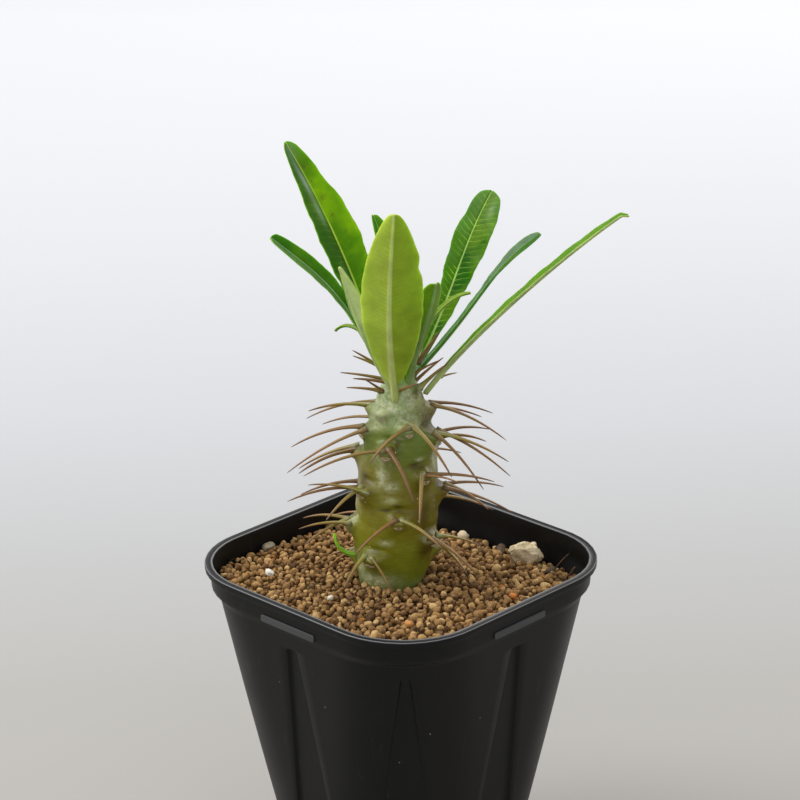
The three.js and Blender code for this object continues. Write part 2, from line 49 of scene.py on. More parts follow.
def hexColor(code):  # sRGB hex to linear
    parts = [int(code[i:i + 2], 16) / 255 for i in (1, 3, 5)]
    return tuple(c / 12.92 if c <= 0.04045 else ((c + 0.055) / 1.055) ** 2.4 for c in parts) + (1.0,)


def addNode(tree, kind, settings=None, links=None):
    # a link comes from a socket, or from a node's first output
    node = tree.nodes.new("ShaderNode" + kind)
    for key, value in (settings or {}).items():
        if key == "stops":
            ramp = node.color_ramp
            while len(ramp.elements) < len(value):
                ramp.elements.new(1.0)
            for element, (place, color) in zip(ramp.elements, value):
                element.position = place
                element.color = hexColor(color)
        elif isinstance(key, int) or key in node.inputs:
            node.inputs[key].default_value = value
        else:
            setattr(node, key, value)
    for key, source in (links or {}).items():
        socket = source.outputs[0] if isinstance(source, bpy.types.Node) else source
        tree.links.new(socket, node.inputs[key])
    return node


def newMaterial(name):
    material = bpy.data.materials.new(name)
    material.use_nodes = True
    tree = material.node_tree
    tree.nodes.clear()
    return material, tree, addNode(tree, "TexCoord").outputs["Object"]


def finishMaterial(material, shader):
    addNode(material.node_tree, "OutputMaterial", {}, {"Surface": shader})
    return material


def speckShare(tree, place, spacing, size, empty):  # small dots, with that share of their cells left empty
    cells = addNode(tree, "TexVoronoi", {"Scale": 1000 / spacing}, {"Vector": place})
    near = addNode(tree, "Math", {"operation": "LESS_THAN", 1: size}, {0: cells})
    chance = addNode(tree, "SeparateColor", {}, {"Color": cells.outputs["Color"]})
    some = addNode(tree, "Math", {"operation": "GREATER_THAN", 1: empty}, {0: chance})
    return addNode(tree, "Math", {"operation": "MULTIPLY"}, {0: near, 1: some})


def layColors(tree, color, palette, shares):  # one colour over another, each by its own share
    for key, share in shares.items():
        color = addNode(tree, "MixRGB", {"Color2": hexColor(palette[key])}, {"Fac": share, "Color1": color})
    return color


def smoothStep(value, low, high):
    t = np.clip((value - low) / (high - low), 0.0, 1.0)
    return t * t * (3 - 2 * t)


def outwardAt(degrees):
    angle = math.radians(degrees)
    return np.array([math.cos(angle), math.sin(angle), 0.0])


def newPiece(name, points, faces, material, replaced=(), attributes=None):
    mesh = bpy.data.meshes.new(name)
    mesh.from_pydata((np.asarray(points, dtype=float) * mm).tolist(), [], faces)
    mesh.polygons.foreach_set("use_smooth", [True] * len(mesh.polygons))
    for key, values in (attributes or {}).items():
        layer = mesh.attributes.new(key, "FLOAT", "POINT")
        layer.data.foreach_set("value", np.asarray(values, dtype=np.float32))
    mesh.materials.append(material)
    mesh.update()
    piece = bpy.data.objects.new(name, mesh)
    bpy.context.scene.collection.objects.link(piece)
    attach(piece, "root")
    if replaced:
        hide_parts(*replaced)
    return piece


def loftFaces(ringCount, size):  # quads between rings, and a face over each end
    faces = []
    last = (ringCount - 1) * size
    for low in range(0, last, size):
        high = low + size
        for i in range(size):
            j = (i + 1) % size
            faces.append((low + i, low + j, high + j, high + i))
    faces.append(tuple(range(size - 1, -1, -1)))
    faces.append(tuple(range(last, last + size)))
    return faces


def joinParts(parts):  # several (points, faces, attributes) into one
    points, faces, attributes, start = [], [], {}, 0
    for partPoints, partFaces, partAttributes in parts:
        points.append(np.asarray(partPoints, dtype=float))
        faces.extend(tuple(start + i for i in face) for face in partFaces)
        for key, values in partAttributes.items():
            attributes.setdefault(key, []).append(np.asarray(values, dtype=float))
        start += len(partPoints)
    joined = {key: np.concatenate(values) for key, values in attributes.items()}
    return np.concatenate(points), faces, joined


def icosphere(level):
    form = bmesh.new()
    bmesh.ops.create_icosphere(form, subdivisions=level, radius=1.0)
    points = np.array([v.co[:] for v in form.verts])
    faces = [tuple(v.index for v in f.verts) for f in form.faces]
    form.free()
    return points, faces


# camera, at the photograph's angle

view = {"place": (0.53219, -0.55380, 0.44599), "turn": 43.86, "tilt": 68.69, "roll": -0.36, "lens": 138.0}

lens = bpy.data.cameras.new("camera")
lens.lens = view["lens"]
lens.sensor_width = 36.0
lens.clip_start = 0.01
camera = bpy.data.objects.new("camera", lens)
aim = Matrix.Rotation(math.radians(view["turn"]), 4, "Z")
aim = aim @ Matrix.Rotation(math.radians(view["tilt"]), 4, "X")
aim = aim @ Matrix.Rotation(math.radians(view["roll"]), 4, "Z")
camera.matrix_world = Matrix.Translation(view["place"]) @ aim
bpy.context.scene.collection.objects.link(camera)
bpy.context.scene.camera = camera
bpy.context.scene.view_settings.view_transform = "Standard"
print("camera set")


# studio: a pale floor, a big window light and a bright room

studio = {
    "floorSize": 12.0, "room": "#ECEFF3", "roomStrength": 0.8,
    # painted light falloff: the floor's tone by distance from the pot, darker near it and paler far off, in metres
    # away from the camera
    "paintedFalloff": [(0.0, "#9D9A95"), (0.12, "#9E9C98"), (0.22, "#A4A4A4"), (0.36, "#B1B2B5"), (0.55, "#BDBEC2"),
               (0.8, "#C9CACE"), (1.0, "#D2D3D7")],
    "lights": [
        # name, place, size, strength in watts, colour
        ("window", (-0.8, -0.62, 1.25), 1.0, 19.5, "#FFFFFF"),
        ("back", (-0.25, 1.1, 1.2), 1.0, 13.0, "#FFF9F0"),
        ("front", (0.9, -0.6, 1.1), 0.8, 1.5, "#FFFFFF"),
    ],
    "aimAt": (0.0, 0.0, 0.12),
}


def makeStudio():
    half = studio["floorSize"] / 2
    mesh = bpy.data.meshes.new("floor")
    corners = [(-half, -half, 0), (half, -half, 0), (half, half, 0), (-half, half, 0)]
    mesh.from_pydata(corners, [], [(0, 1, 2, 3)])
    floor = bpy.data.objects.new("floor", mesh)
    bpy.context.scene.collection.objects.link(floor)
    material, tree, place = newMaterial("matt pale board, painted light falloff")  # pale, no gloss, its tone graded as painted light falloff
    away = math.radians(view["turn"] + 90)
    turned = addNode(tree, "VectorMath",
                     {"operation": "DOT_PRODUCT", 1: (math.cos(away), math.sin(away), 0)}, {0: place})
    tone = addNode(tree, "ValToRGB", {"stops": studio["paintedFalloff"]}, {"Fac": turned.outputs["Value"]})
    shader = addNode(tree, "BsdfPrincipled", {"Roughness": 0.9}, {"Base Color": tone})
    mesh.materials.append(finishMaterial(material, shader))
    world = bpy.data.worlds.new("room")
    bpy.context.scene.world = world
    world.use_nodes = True
    ground = world.node_tree.nodes["Background"]
    ground.inputs["Color"].default_value = hexColor(studio["room"])
    ground.inputs["Strength"].default_value = studio["roomStrength"]
    target = Vector(studio["aimAt"])
    for name, place, size, strength, color in studio["lights"]:
        lamp = bpy.data.lights.new(name, "AREA")
        lamp.shape = "SQUARE"
        lamp.size = size
        lamp.energy = strength
        lamp.color = hexColor(color)[:3]
        holder = bpy.data.objects.new(name, lamp)
        holder.location = place
        holder.rotation_euler = (target - Vector(place)).to_track_quat("-Z", "Y").to_euler()
        bpy.context.scene.collection.objects.link(holder)


makeStudio()
print("studio set")


# pot

pot = {
    "height": 100.0, "wall": 1.0, "floor": 1.4,
    "lip": {"half": 45.0, "corner": 23.7, "height": 1.8, "round": 0.3, "dish": 0.18,
            "worn": [(5, 0.8), (9, 0.6), (10, 0.6)]},  # which steps of its section get painted highlight lines along the lip's edges
    "band": {"topHalf": 43.8, "footHalf": 43.5, "corner": 22.8, "belowRim": 6.9},
    "body": {"topHalf": 43.0, "baseHalf": 29.5, "topCorner": 26.0, "baseCorner": 28.0, "belowRim": 8.8},
    "flute": {"belowRim": 13.0, "depth": 0.9, "run": 0.8, "innerWiden": 0.75, "leastRidge": 0.4},
    "faceFlute": (4.0, 0.187), "cornerFlute": (3.1, 0.234),  # width at the top and growth per mm
    "bar": {"length": 20.0, "height": 2.0, "proud": 0.45, "belowRim": 6.2, "round": 0.5},
    "drain": {"count": 4, "ring": 15.0, "radius": 3.5},
    "black": "#0A0A0A", "dusty": "#161616", "speck": "#77766F", "scuff": "#2E2D2D", "worn": "#8E8E90",
    "film": "#A0A0A0",  # how much of the dusty tone shows where the film lies
    "roughness": (0.36, 0.52), "grain": 0.35, "speckSpacing": 6.0, "speckSize": 0.035, "speckEmpty": 0.45,
}


def plasticMaterial():
    # polypropylene, injection moulded: satin black with a faint spark-eroded grain, dust, rub marks and painted
    # highlight lines along the lip's edges
    material, tree, place = newMaterial("moulded polypropylene, black")
    cloud = addNode(tree, "TexNoise", {"Scale": 55.0, "Detail": 5.0, "Roughness": 0.6}, {"Vector": place})
    film = addNode(tree, "ValToRGB", {"stops": [(0.35, "#000000"), (0.75, pot["film"])]}, {"Fac": cloud})
    body = addNode(tree, "MixRGB", {"Color1": hexColor(pot["black"]), "Color2": hexColor(pot["dusty"])},
                   {"Fac": film})
    speck = speckShare(tree, place, pot["speckSpacing"], pot["speckSize"], pot["speckEmpty"])
    stretched = addNode(tree, "Mapping", {"Scale": (420.0, 420.0, 60.0), "Rotation": (0.3, 0.5, 0.0)},
                        {"Vector": place})
    streak = addNode(tree, "TexNoise", {"Scale": 1.0, "Detail": 3.0}, {"Vector": stretched})
    rub = addNode(tree, "MapRange", {"From Min": 0.66, "From Max": 0.8, "To Max": 0.5}, {"Value": streak})
    # a pale colour: painted highlight lines on the lip's edges, and the bars a little paler
    worn = addNode(tree, "Attribute", {"attribute_name": "worn"}).outputs["Fac"]
    color = layColors(tree, body, pot, {"speck": speck, "scuff": rub, "worn": worn})
    low, high = pot["roughness"]
    gloss = addNode(tree, "MapRange", {"To Min": low, "To Max": high}, {"Value": cloud})
    fine = addNode(tree, "TexNoise", {"Scale": 1000 / pot["grain"], "Detail": 2.0}, {"Vector": place})
    bump = addNode(tree, "Bump", {"Strength": 0.12, "Distance": 0.00005}, {"Height": fine})
    shader = addNode(tree, "BsdfPrincipled", {"IOR": 1.49, "Specular IOR Level": 0.22},
                     {"Base Color": color, "Roughness": gloss, "Normal": bump})
    return finishMaterial(material, shader)


def potRing(half, corner, height, inset=0.0, depthShare=1.0):
    # one ring: a rounded square with four face flutes and four corner flutes
    flute = pot["flute"]
    belowTop = max(pot["height"] - flute["belowRim"] - height, 0.0)
    depth = flute["depth"] * depthShare
    straight = half - corner
    eighth = straight + corner * math.pi / 4
    widen = inset * flute["innerWiden"]
    faceHalf = (pot["faceFlute"][0] + pot["faceFlute"][1] * belowTop) / 2 + widen
    cornerHalf = (pot["cornerFlute"][0] + pot["cornerFlute"][1] * belowTop) / 2 + widen
    middle = (faceHalf + eighth - cornerHalf) / 2
    ridge = max((eighth - cornerHalf - faceHalf) / 2, flute["leastRidge"] / 2)
    face, edge, run = middle - ridge, middle + ridge, flute["run"]
    stops = [(t * (face - run), 1.0) for t in np.linspace(0, 1, 6)]
    stops += [(face - run + t * run, 1 - smoothStep(t, 0, 1)) for t in (0.2, 0.4, 0.6, 0.8, 1.0)]
    stops += [(face + t * (edge - face), 0.0) for t in np.linspace(0, 1, 11)[1:]]
    stops += [(edge + t * run, smoothStep(t, 0, 1)) for t in (0.2, 0.4, 0.6, 0.8, 1.0)]
    stops += [(edge + run + t * (eighth - edge - run), 1.0) for t in np.linspace(0, 1, 6)[1:]]
    first = []
    for along, share in stops:
        turn = max(along - straight, 0.0) / corner
        reach = corner - inset - depth * share
        first.append((straight + reach * math.cos(turn), min(along, straight) + reach * math.sin(turn)))
    quarter = first + [(y, x) for x, y in first[1:-1][::-1]]
    ring = []
    for k in range(4):
        c, s = (1, 0, -1, 0)[k], (0, 1, 0, -1)[k]
        ring += [(c * x - s * y, s * x + c * y, height) for x, y in quarter]
    return np.array(ring)


def wallAt(height):  # the half width and corner radius of the pot's outside below the lip
    levels = [
        (0.0, pot["body"]["baseHalf"], pot["body"]["baseCorner"]),
        (pot["height"] - pot["body"]["belowRim"], pot["body"]["topHalf"], pot["body"]["topCorner"]),
        (pot["height"] - pot["band"]["belowRim"], pot["band"]["footHalf"], pot["band"]["corner"]),
        (pot["height"], pot["band"]["topHalf"], pot["band"]["corner"]),
    ]
    heights = [level[0] for level in levels]
    return (np.interp(height, heights, [level[1] for level in levels]),
            np.interp(height, heights, [level[2] for level in levels]))


def barPart(quarterTurn):  # the raised bar under the rim of one face
    bar = pot["bar"]
    face = pot["band"]["footHalf"] + bar["proud"]
    rings = []
    steps = ((-1.2, 0.0), (-0.12, 0.0), (-0.03, 0.05), (0.0, 0.16))
    for depth, shrink in steps:
        halfLong, halfTall = bar["length"] / 2 - shrink, bar["height"] / 2 - shrink
        ring = []
        for cornerTurn, (sideY, sideZ) in enumerate(((1, 1), (-1, 1), (-1, -1), (1, -1))):
            for step in range(5):
                angle = math.radians(cornerTurn * 90 + step * 22.5)
                y = sideY * (halfLong - bar["round"]) + bar["round"] * math.cos(angle)
                z = sideZ * (halfTall - bar["round"]) + bar["round"] * math.sin(angle)
                ring.append((face + depth, y, pot["height"] - bar["belowRim"] + z))
        rings.append(ring)
    points = np.array(rings).reshape(-1, 3)
    turn = np.array(Matrix.Rotation(quarterTurn * math.pi / 2, 3, "Z"))
    return points @ turn.T, loftFaces(len(rings), len(rings[0])), {"worn": np.full(len(points), 0.22)}


def makePot():
    lip, band = pot["lip"], pot["band"]
    top, lipFoot = pot["height"], pot["height"] - lip["height"]
    fluteTop = top - pot["flute"]["belowRim"]
    rings = [potRing(pot["body"]["baseHalf"] - 0.7, pot["body"]["baseCorner"] - 0.7, 0.0)]
    for height, shrink in ((0.06, 0.42), (0.25, 0.16), (0.6, 0.0)):
        half, corner = wallAt(height)
        rings.append(potRing(half - shrink, corner - shrink, height))
    for height in (1.2, 12, 24, 36, 48, 60, 72, 82, 86.2):
        rings.append(potRing(*wallAt(height), height))
    for height, share in ((86.5, 0.9), (86.75, 0.45), (fluteTop, 0.0)):
        rings.append(potRing(*wallAt(height), height, 0.0, share))
    for height in (87.4, 88.6, 89.8, 90.7, 91.05, 91.3, 91.9, 92.6, 92.95, 93.3, 94.5, 96.5, lipFoot - 0.2):
        rings.append(potRing(*wallAt(height), height, 0.0, 0.0))
    lipSteps = [
        (band["topHalf"] + 0.1, lipFoot), (lip["half"] - 0.25, lipFoot), (lip["half"] - 0.06, lipFoot + 0.08),
        (lip["half"], lipFoot + 0.3), (lip["half"], top - lip["round"]),
        (lip["half"] - 0.08, top - 0.09), (lip["half"] - lip["round"], top),
        (lip["half"] - 0.6, top - lip["dish"]), (lip["half"] - 1.5, top - lip["dish"]),
        (lip["half"] - 1.85, top), (lip["half"] - 2.1, top - 0.08), (lip["half"] - 2.2, top - 0.3),
    ]
    lipStart = len(rings)
    for half, height in lipSteps:
        rings.append(potRing(half, lip["corner"] - (lip["half"] - half), height, 0.0, 0.0))
    for height in (97, 95, 93.1, 91.2, 88):
        rings.append(potRing(*wallAt(height), height, pot["wall"], 0.0))
    for height in (86.6, 60, 30, 2.2, pot["floor"] + 0.2):
        rings.append(potRing(*wallAt(height), height, pot["wall"]))
    half, corner = wallAt(pot["floor"])
    rings.append(potRing(half - 0.4, corner - 0.4, pot["floor"], pot["wall"]))
    worn = np.zeros((len(rings), len(rings[0])))
    # painted highlight lines on chosen steps of the lip
    for k, amount in lip["worn"]:
        worn[lipStart + k] = amount
    shell = (np.concatenate(rings), loftFaces(len(rings), len(rings[0])), {"worn": worn.ravel()})
    plastic = plasticMaterial()
    points, faces, attributes = joinParts([barPart(k) for k in range(4)])
    newPiece("raised_bars", points, faces, plastic, (), attributes)
    points, faces, attributes = shell
    piece = newPiece("nursery_pot", points, faces, plastic, ("pot",), attributes)
    # drainage holes through the base
    drain = pot["drain"]
    cutter = bmesh.new()
    for k in range(drain["count"]):
        angle = (k + 0.5) * 2 * math.pi / drain["count"]
        place = (drain["ring"] * math.cos(angle) * mm, drain["ring"] * math.sin(angle) * mm, 0.0)
        bmesh.ops.create_cone(cutter, cap_ends=True, segments=40, radius1=drain["radius"] * mm,
                              radius2=drain["radius"] * mm, depth=6 * mm, matrix=Matrix.Translation(place))
    cutterMesh = bpy.data.meshes.new("drain cutter")
    cutter.to_mesh(cutterMesh)
    cutter.free()
    tool = bpy.data.objects.new("drain cutter", cutterMesh)
    bpy.context.scene.collection.objects.link(tool)
    cut = piece.modifiers.new("drain", "BOOLEAN")
    cut.operation = "DIFFERENCE"
    cut.object = tool
    cut.solver = "EXACT"
    bpy.context.view_layer.update()
    cleaned = bpy.data.meshes.new_from_object(piece.evaluated_get(bpy.context.evaluated_depsgraph_get()))
    piece.modifiers.clear()
    piece.data = cleaned
    bpy.data.objects.remove(tool)
    piece.data.set_sharp_from_angle(angle=math.radians(50))


makePot()
print("pot made")


# soil

soil = {
    "centre": 94.6, "slopeX": 0.035, "slopeY": -0.03, "hollowY": 0.0024,
    "clearWall": 0.35, "stemClear": 0.25,
    "sizes": (0.7, 1.5), "fineNear": (-14.0, -12.0), "fineReach": 30.0,
    "upper": {"tries": 30000, "crowd": 0.86, "lift": (-0.55, 0.45), "seed": 4},
    "lower": {"tries": 12000, "crowd": 1.0, "lift": (-2.2, -1.5), "seed": 9},
    "fillBelow": 2.6, "shapes": 14, "flats": 9, "flatAt": (0.52, 0.8), "stretch": (0.86, 1.26), "lump": 0.06,
    "tones": [(0.0, "#533A20"), (0.15, "#6E4E2C"), (0.45, "#8E6A3E"), (0.75, "#A37D4C"), (0.92, "#B99560"),
              (0.993, "#C9A772"), (0.996, "#A8682C"), (1.0, "#9A581C")],
    "fillColor": "#4A331C", "fillEdge": "#6B4B2B", "dust": "#D2AE7F", "grit": 0.28, "fillGrain": 2.4,
}


def soilHeight(x, y):
    back = np.maximum(y, 0.0)
    return soil["centre"] + soil["slopeX"] * x + soil["slopeY"] * y - soil["hollowY"] * back * back


def wallDistance(x, y, height):  # how far a point is from the pot's inner wall
    half, corner = wallAt(height)
    straight = half - corner
    dx, dy = abs(x) - straight, abs(y) - straight
    outside = math.hypot(max(dx, 0.0), max(dy, 0.0)) + min(max(dx, dy), 0.0)
    return corner - pot["wall"] - outside


def clayMaterial():
    # fired clay granules: dry, porous and matt, each its own tone from tan to rust
    material, tree, place = newMaterial("fired clay granules")
    tone = addNode(tree, "Attribute", {"attribute_name": "tone"}).outputs["Fac"]
    base = addNode(tree, "ValToRGB", {"stops": soil["tones"]}, {"Fac": tone})
    grit = addNode(tree, "TexNoise", {"Scale": 1000 / soil["grit"], "Detail": 3.0, "Roughness": 0.65},
                   {"Vector": place})
    shade = addNode(tree, "MapRange", {"From Min": 0.3, "From Max": 0.7, "To Min": 0.62, "To Max": 1.22},
                    {"Value": grit})
    patch = addNode(tree, "TexNoise", {"Scale": 900.0, "Detail": 2.0}, {"Vector": place})
    dusty = addNode(tree, "MapRange", {"From Min": 0.5, "From Max": 0.75, "To Max": 0.4}, {"Value": patch})
    mixed = addNode(tree, "MixRGB", {"Color2": hexColor(soil["dust"])}, {"Fac": dusty, "Color1": base})
    color = addNode(tree, "MixRGB", {"blend_type": "MULTIPLY", "Fac": 1.0},
                    {"Color1": mixed, "Color2": shade})
    bump = addNode(tree, "Bump", {"Strength": 0.7, "Distance": 0.00012}, {"Height": grit})
    shader = addNode(tree, "BsdfPrincipled", {"Roughness": 0.93, "Specular IOR Level": 0.25},
                     {"Base Color": color, "Normal": bump})
    return finishMaterial(material, shader)


def cutFlats(points, count, depths, rng):  # flat sides here and there
    flats = rng.normal(size=(count, 3))
    flats /= np.linalg.norm(flats, axis=1)[:, None]
    for flat in flats:
        over = np.maximum(points @ flat - rng.uniform(*depths), 0.0)
        points = points - over[:, None] * flat
    return points


def granuleShapes(rng):
    points, faces = icosphere(2)
    shapes = []
    for _ in range(soil["shapes"]):
        lumps = 1 + rng.uniform(-soil["lump"], soil["lump"], len(points))
        form = cutFlats(points * lumps[:, None], soil["flats"], soil["flatAt"], rng)
        shapes.append(form * rng.uniform(*soil["stretch"], 3))
    return shapes, faces


def scatter(layer, rng):
    # centres and radii of one layer, no two closer than their crowding allows
    cell = 2 * soil["sizes"][1]
    taken = {}
    kept = []
    fineX, fineY = soil["fineNear"]
    for _ in range(layer["tries"]):
        x, y = rng.uniform(-43, 43, 2)
        fine = math.exp(-((x - fineX) ** 2 + (y - fineY) ** 2) / soil["fineReach"] ** 2)
        share = rng.uniform() ** (1 + 1.2 * fine)
        radius = soil["sizes"][0] + (soil["sizes"][1] - soil["sizes"][0]) * share * (1 - 0.35 * fine)
        height = soilHeight(x, y) + rng.uniform(*layer["lift"])
        if wallDistance(x, y, height) < radius + soil["clearWall"] * 0.3:
            continue
        foot = stemAxis(height)
        gap = math.hypot(x - foot[0], y - foot[1]) - stemRadius(height)
        if gap < radius * 0.7 + soil["stemClear"]:
            continue
        key = (int(x // cell), int(y // cell))
        crowd = layer["crowd"]
        near = (other for i in (-1, 0, 1) for j in (-1, 0, 1)
                for other in taken.get((key[0] + i, key[1] + j), ()))
        if any((x - o[0]) ** 2 + (y - o[1]) ** 2 < (crowd * (radius + o[3])) ** 2 for o in near):
            continue
        entry = (x, y, height, radius)
        taken.setdefault(key, []).append(entry)
        kept.append(entry)
    return kept


def layGranules(name, layer, material):
    rng = np.random.default_rng(layer["seed"])
    shapes, faces = granuleShapes(rng)
    faces = np.array(faces)
    kept = scatter(layer, rng)
    points, triangles, tones = [], [], []
    for n, (x, y, height, radius) in enumerate(kept):
        form = shapes[rng.integers(len(shapes))] * radius
        axis = Vector(rng.normal(size=3)).normalized()
        turn = np.array(Matrix.Rotation(rng.uniform(0, 2 * math.pi), 3, axis))
        points.append(form @ turn.T + (x, y, height))
        triangles.append(faces + n * len(form))
        tones.append(np.full(len(form), rng.uniform()))
    allFaces = [tuple(face) for face in np.concatenate(triangles).tolist()]
    newPiece(name, np.concatenate(points), allFaces, material, (),
             {"tone": np.concatenate(tones)})
    print(name, len(kept), "granules,", len(allFaces), "triangles")


def fillMaterial():
    # the mass of granules in shade, seen only through gaps
    material, tree, place = newMaterial("packed clay granules, shaded")
    cells = addNode(tree, "TexVoronoi", {"Scale": 1000 / soil["fillGrain"]}, {"Vector": place})
    tone = addNode(tree, "ValToRGB", {"stops": [(0.1, soil["fillEdge"]), (0.6, soil["fillColor"])]},
                   {"Fac": cells})
    bump = addNode(tree, "Bump", {"Strength": 1.0, "Distance": 0.0008, "invert": True}, {"Height": cells})
    shader = addNode(tree, "BsdfPrincipled", {"Roughness": 0.95}, {"Base Color": tone, "Normal": bump})
    return finishMaterial(material, shader)


def makeFill():
    inset = pot["wall"] + soil["clearWall"]
    levels = (pot["floor"] + soil["clearWall"], 30, 60, 84, 88)
    rings = [potRing(*wallAt(height), height, inset, 1.0 if height < 86 else 0.0) for height in levels]
    brim = soilHeight(rings[-1][:, 0], rings[-1][:, 1]) - soil["fillBelow"]
    rings[-1][:, 2] = np.minimum(rings[-1][:, 2], brim - 0.4)
    top = rings[-1].copy()
    top[:, 2] = soilHeight(top[:, 0], top[:, 1]) - soil["fillBelow"]
    rings.append(top)
    for share in (0.93, 0.8, 0.6, 0.4, 0.25):
        ring = top.copy()
        ring[:, :2] *= share
        ring[:, 2] = soilHeight(ring[:, 0], ring[:, 1]) - soil["fillBelow"]
        rings.append(ring)
    newPiece("soil_fill", np.concatenate(rings), loftFaces(len(rings), len(top)), fillMaterial(),
             ("soil",))


# stem

stem = {
    "rootTip": 66.0,
    "profile": [(66, 2.5), (76, 5.2), (86, 7.6), (95, 9), (99.5, 10.2), (105, 11.1), (113, 11.3), (120, 11.2),
                (128, 10.6), (134, 9.7), (139, 8.4), (143, 7.3), (146, 6.6), (148.4, 6.2), (150.8, 5.1),
                (152.6, 3.8), (154.2, 2.4), (155.2, 1.2)],
    "crown": 153.0, "footPlace": (-1.3, -2.3, 95.0), "rings": 230, "sides": 230,
    "spiral": {"turn": -137.5, "startAngle": -44.1, "startHeight": 116.2},
    "tubercle": {"first": -7, "last": 18, "step": 2.4, "denseFrom": 8, "denseStep": 1.2,
                 "rise": 2.8, "wide": 2.7, "above": 1.6, "below": 3.2, "fadeFrom": 141, "fadeTo": 155},
    "scar": {"wide": 1.15, "tall": 0.62, "below": 1.5, "lastNumber": 13,
             "section": [(1.12, -0.5), (1.05, 0.02), (0.95, 0.16), (0.75, 0.12), (0.45, 0.02), (0.15, -0.08)]},
    # litSide: the side facing the window light, where the pale wax colour also paints highlights
    "crease": {"above": 2.6, "depth": 0.8}, "collar": 0.8, "litSide": -75.0,
    # where wax lies thick, with painted highlights among it, and where dark brown is painted, partly brown skin
    # and partly painted shade: angle, height, half width, half height, amount
    "waxAndHighlightSpots": [(-64, 146.3, 2.4, 1.9, 0.9), (-86, 142.6, 2.5, 2.2, 0.8), (-21, 147.5, 1.4, 1.4, 0.8),
                 (-72, 128.0, 1.8, 2.8, 0.75), (-58, 125.4, 2.0, 1.3, 0.7), (-57, 121.6, 2.0, 1.0, 0.5),
                 (-122, 112.9, 1.2, 2.4, 0.6), (-61, 109.2, 1.8, 0.8, 0.6), (-3, 109.5, 0.9, 0.7, 0.7),
                 (-76, 97.4, 6.0, 2.2, 0.75), (-105, 100.1, 2.2, 3.0, 0.7), (-12, 132.4, 1.3, 0.5, 0.8),
                 (20, 130.9, 1.2, 3.2, 0.8), (-72, 132.5, 3.0, 2.0, 0.35), (-46, 138.9, 1.4, 0.5, 0.5)],
    "brownSpots": [(-50, 137.5, 1.2, 2.0, 0.85), (-21, 130.9, 2.0, 1.0, 0.85), (-106, 125.8, 1.5, 2.1, 0.8),
                   (-62, 118.8, 1.9, 0.6, 0.9), (-46, 120.0, 1.6, 0.6, 0.9), (34, 122.9, 2.2, 1.8, 0.95),
                   (-118, 140.4, 1.2, 2.0, 0.6), (-2, 106.5, 2.2, 4.0, 0.6), (-5, 117.0, 2.2, 4.5, 0.6),
                   (-14, 126.0, 2.0, 3.5, 0.45), (20, 141.5, 2.4, 2.6, 0.7)],
    "brownShadeAbove": 2.2, "brown": "#3E3006",
    "greens": [(0.12, "#7E8A4E"), (0.24, "#6C7A1A"), (0.36, "#7A801C"), (0.5, "#827E1C"), (0.7, "#7A7418"),
               (0.85, "#66761E"), (1.0, "#7E9A4A")],
    "olive": "#6A5A10", "bloomAndSheen": "#C6CAA2", "scurf": "#8E7C5E", "scarColor": "#BFA987", "scarEdge": "#6B5433",
    "scarPale": "#DEC7A4", "speck": "#D8D8A8", "speckSpacing": 2.6, "speckSize": 0.075,
    "speckEmpty": 0.62,
}


def stemRadius(height):
    return np.interp(height, *zip(*stem["profile"]))


def stemAxis(height):
    footX, footY, footHeight = stem["footPlace"]
    share = np.clip((stem["crown"] - height) / (stem["crown"] - footHeight), 0, 1) ** 2
    return np.array([footX * share, footY * share, height])


def tubercles():
    one, spiral = stem["tubercle"], stem["spiral"]
    found = []
    for k in range(one["first"], one["last"] + 1):
        height = spiral["startHeight"] + one["step"] * min(k, one["denseFrom"])
        height += one["denseStep"] * max(k - one["denseFrom"], 0)
        found.append((k, spiral["startAngle"] + spiral["turn"] * k, height))
    return found


def wrapDegrees(angle):
    return (angle + 180.0) % 360.0 - 180.0


def stemReach(angle, height):
    # radius of the skin with its tubercles: a shelf above each spine pair, a long swelling under it
    one = stem["tubercle"]
    samples = [stemRadius(height + d) for d in (-1.6, -0.8, 0.0, 0.8, 1.6)]
    radius = sum(samples) / len(samples)
    reach = radius.copy()
    for _, start, level in tubercles():
        around = np.radians(wrapDegrees(angle - start)) * radius
        along = height - level
        tall = np.where(along > 0, one["above"], one["below"])
        fade = 1 - smoothStep(level, one["fadeFrom"], one["fadeTo"])
        reach += fade * one["rise"] * np.exp(-(around / one["wide"]) ** 2 - (along / tall) ** 2)
        crease = np.exp(-(around / 3.4) ** 2 - ((along - stem["crease"]["above"]) / 1.0) ** 2)
        reach -= fade * stem["crease"]["depth"] * crease
        for hand in (-1, 1):  # a collar round each spine
            collar = np.exp(-((around - hand * spines["apart"]) / 1.1) ** 2 - ((along - 0.2) / 1.1) ** 2)
            reach += fade * stem["collar"] * collar
    return radius, reach


def stemPoints(angle, height):
    _, reach = stemReach(angle, height)
    axisX, axisY, _ = stemAxis(height)
    turn = np.radians(angle)
    return np.stack([axisX + reach * np.cos(turn), axisY + reach * np.sin(turn), height], axis=-1)


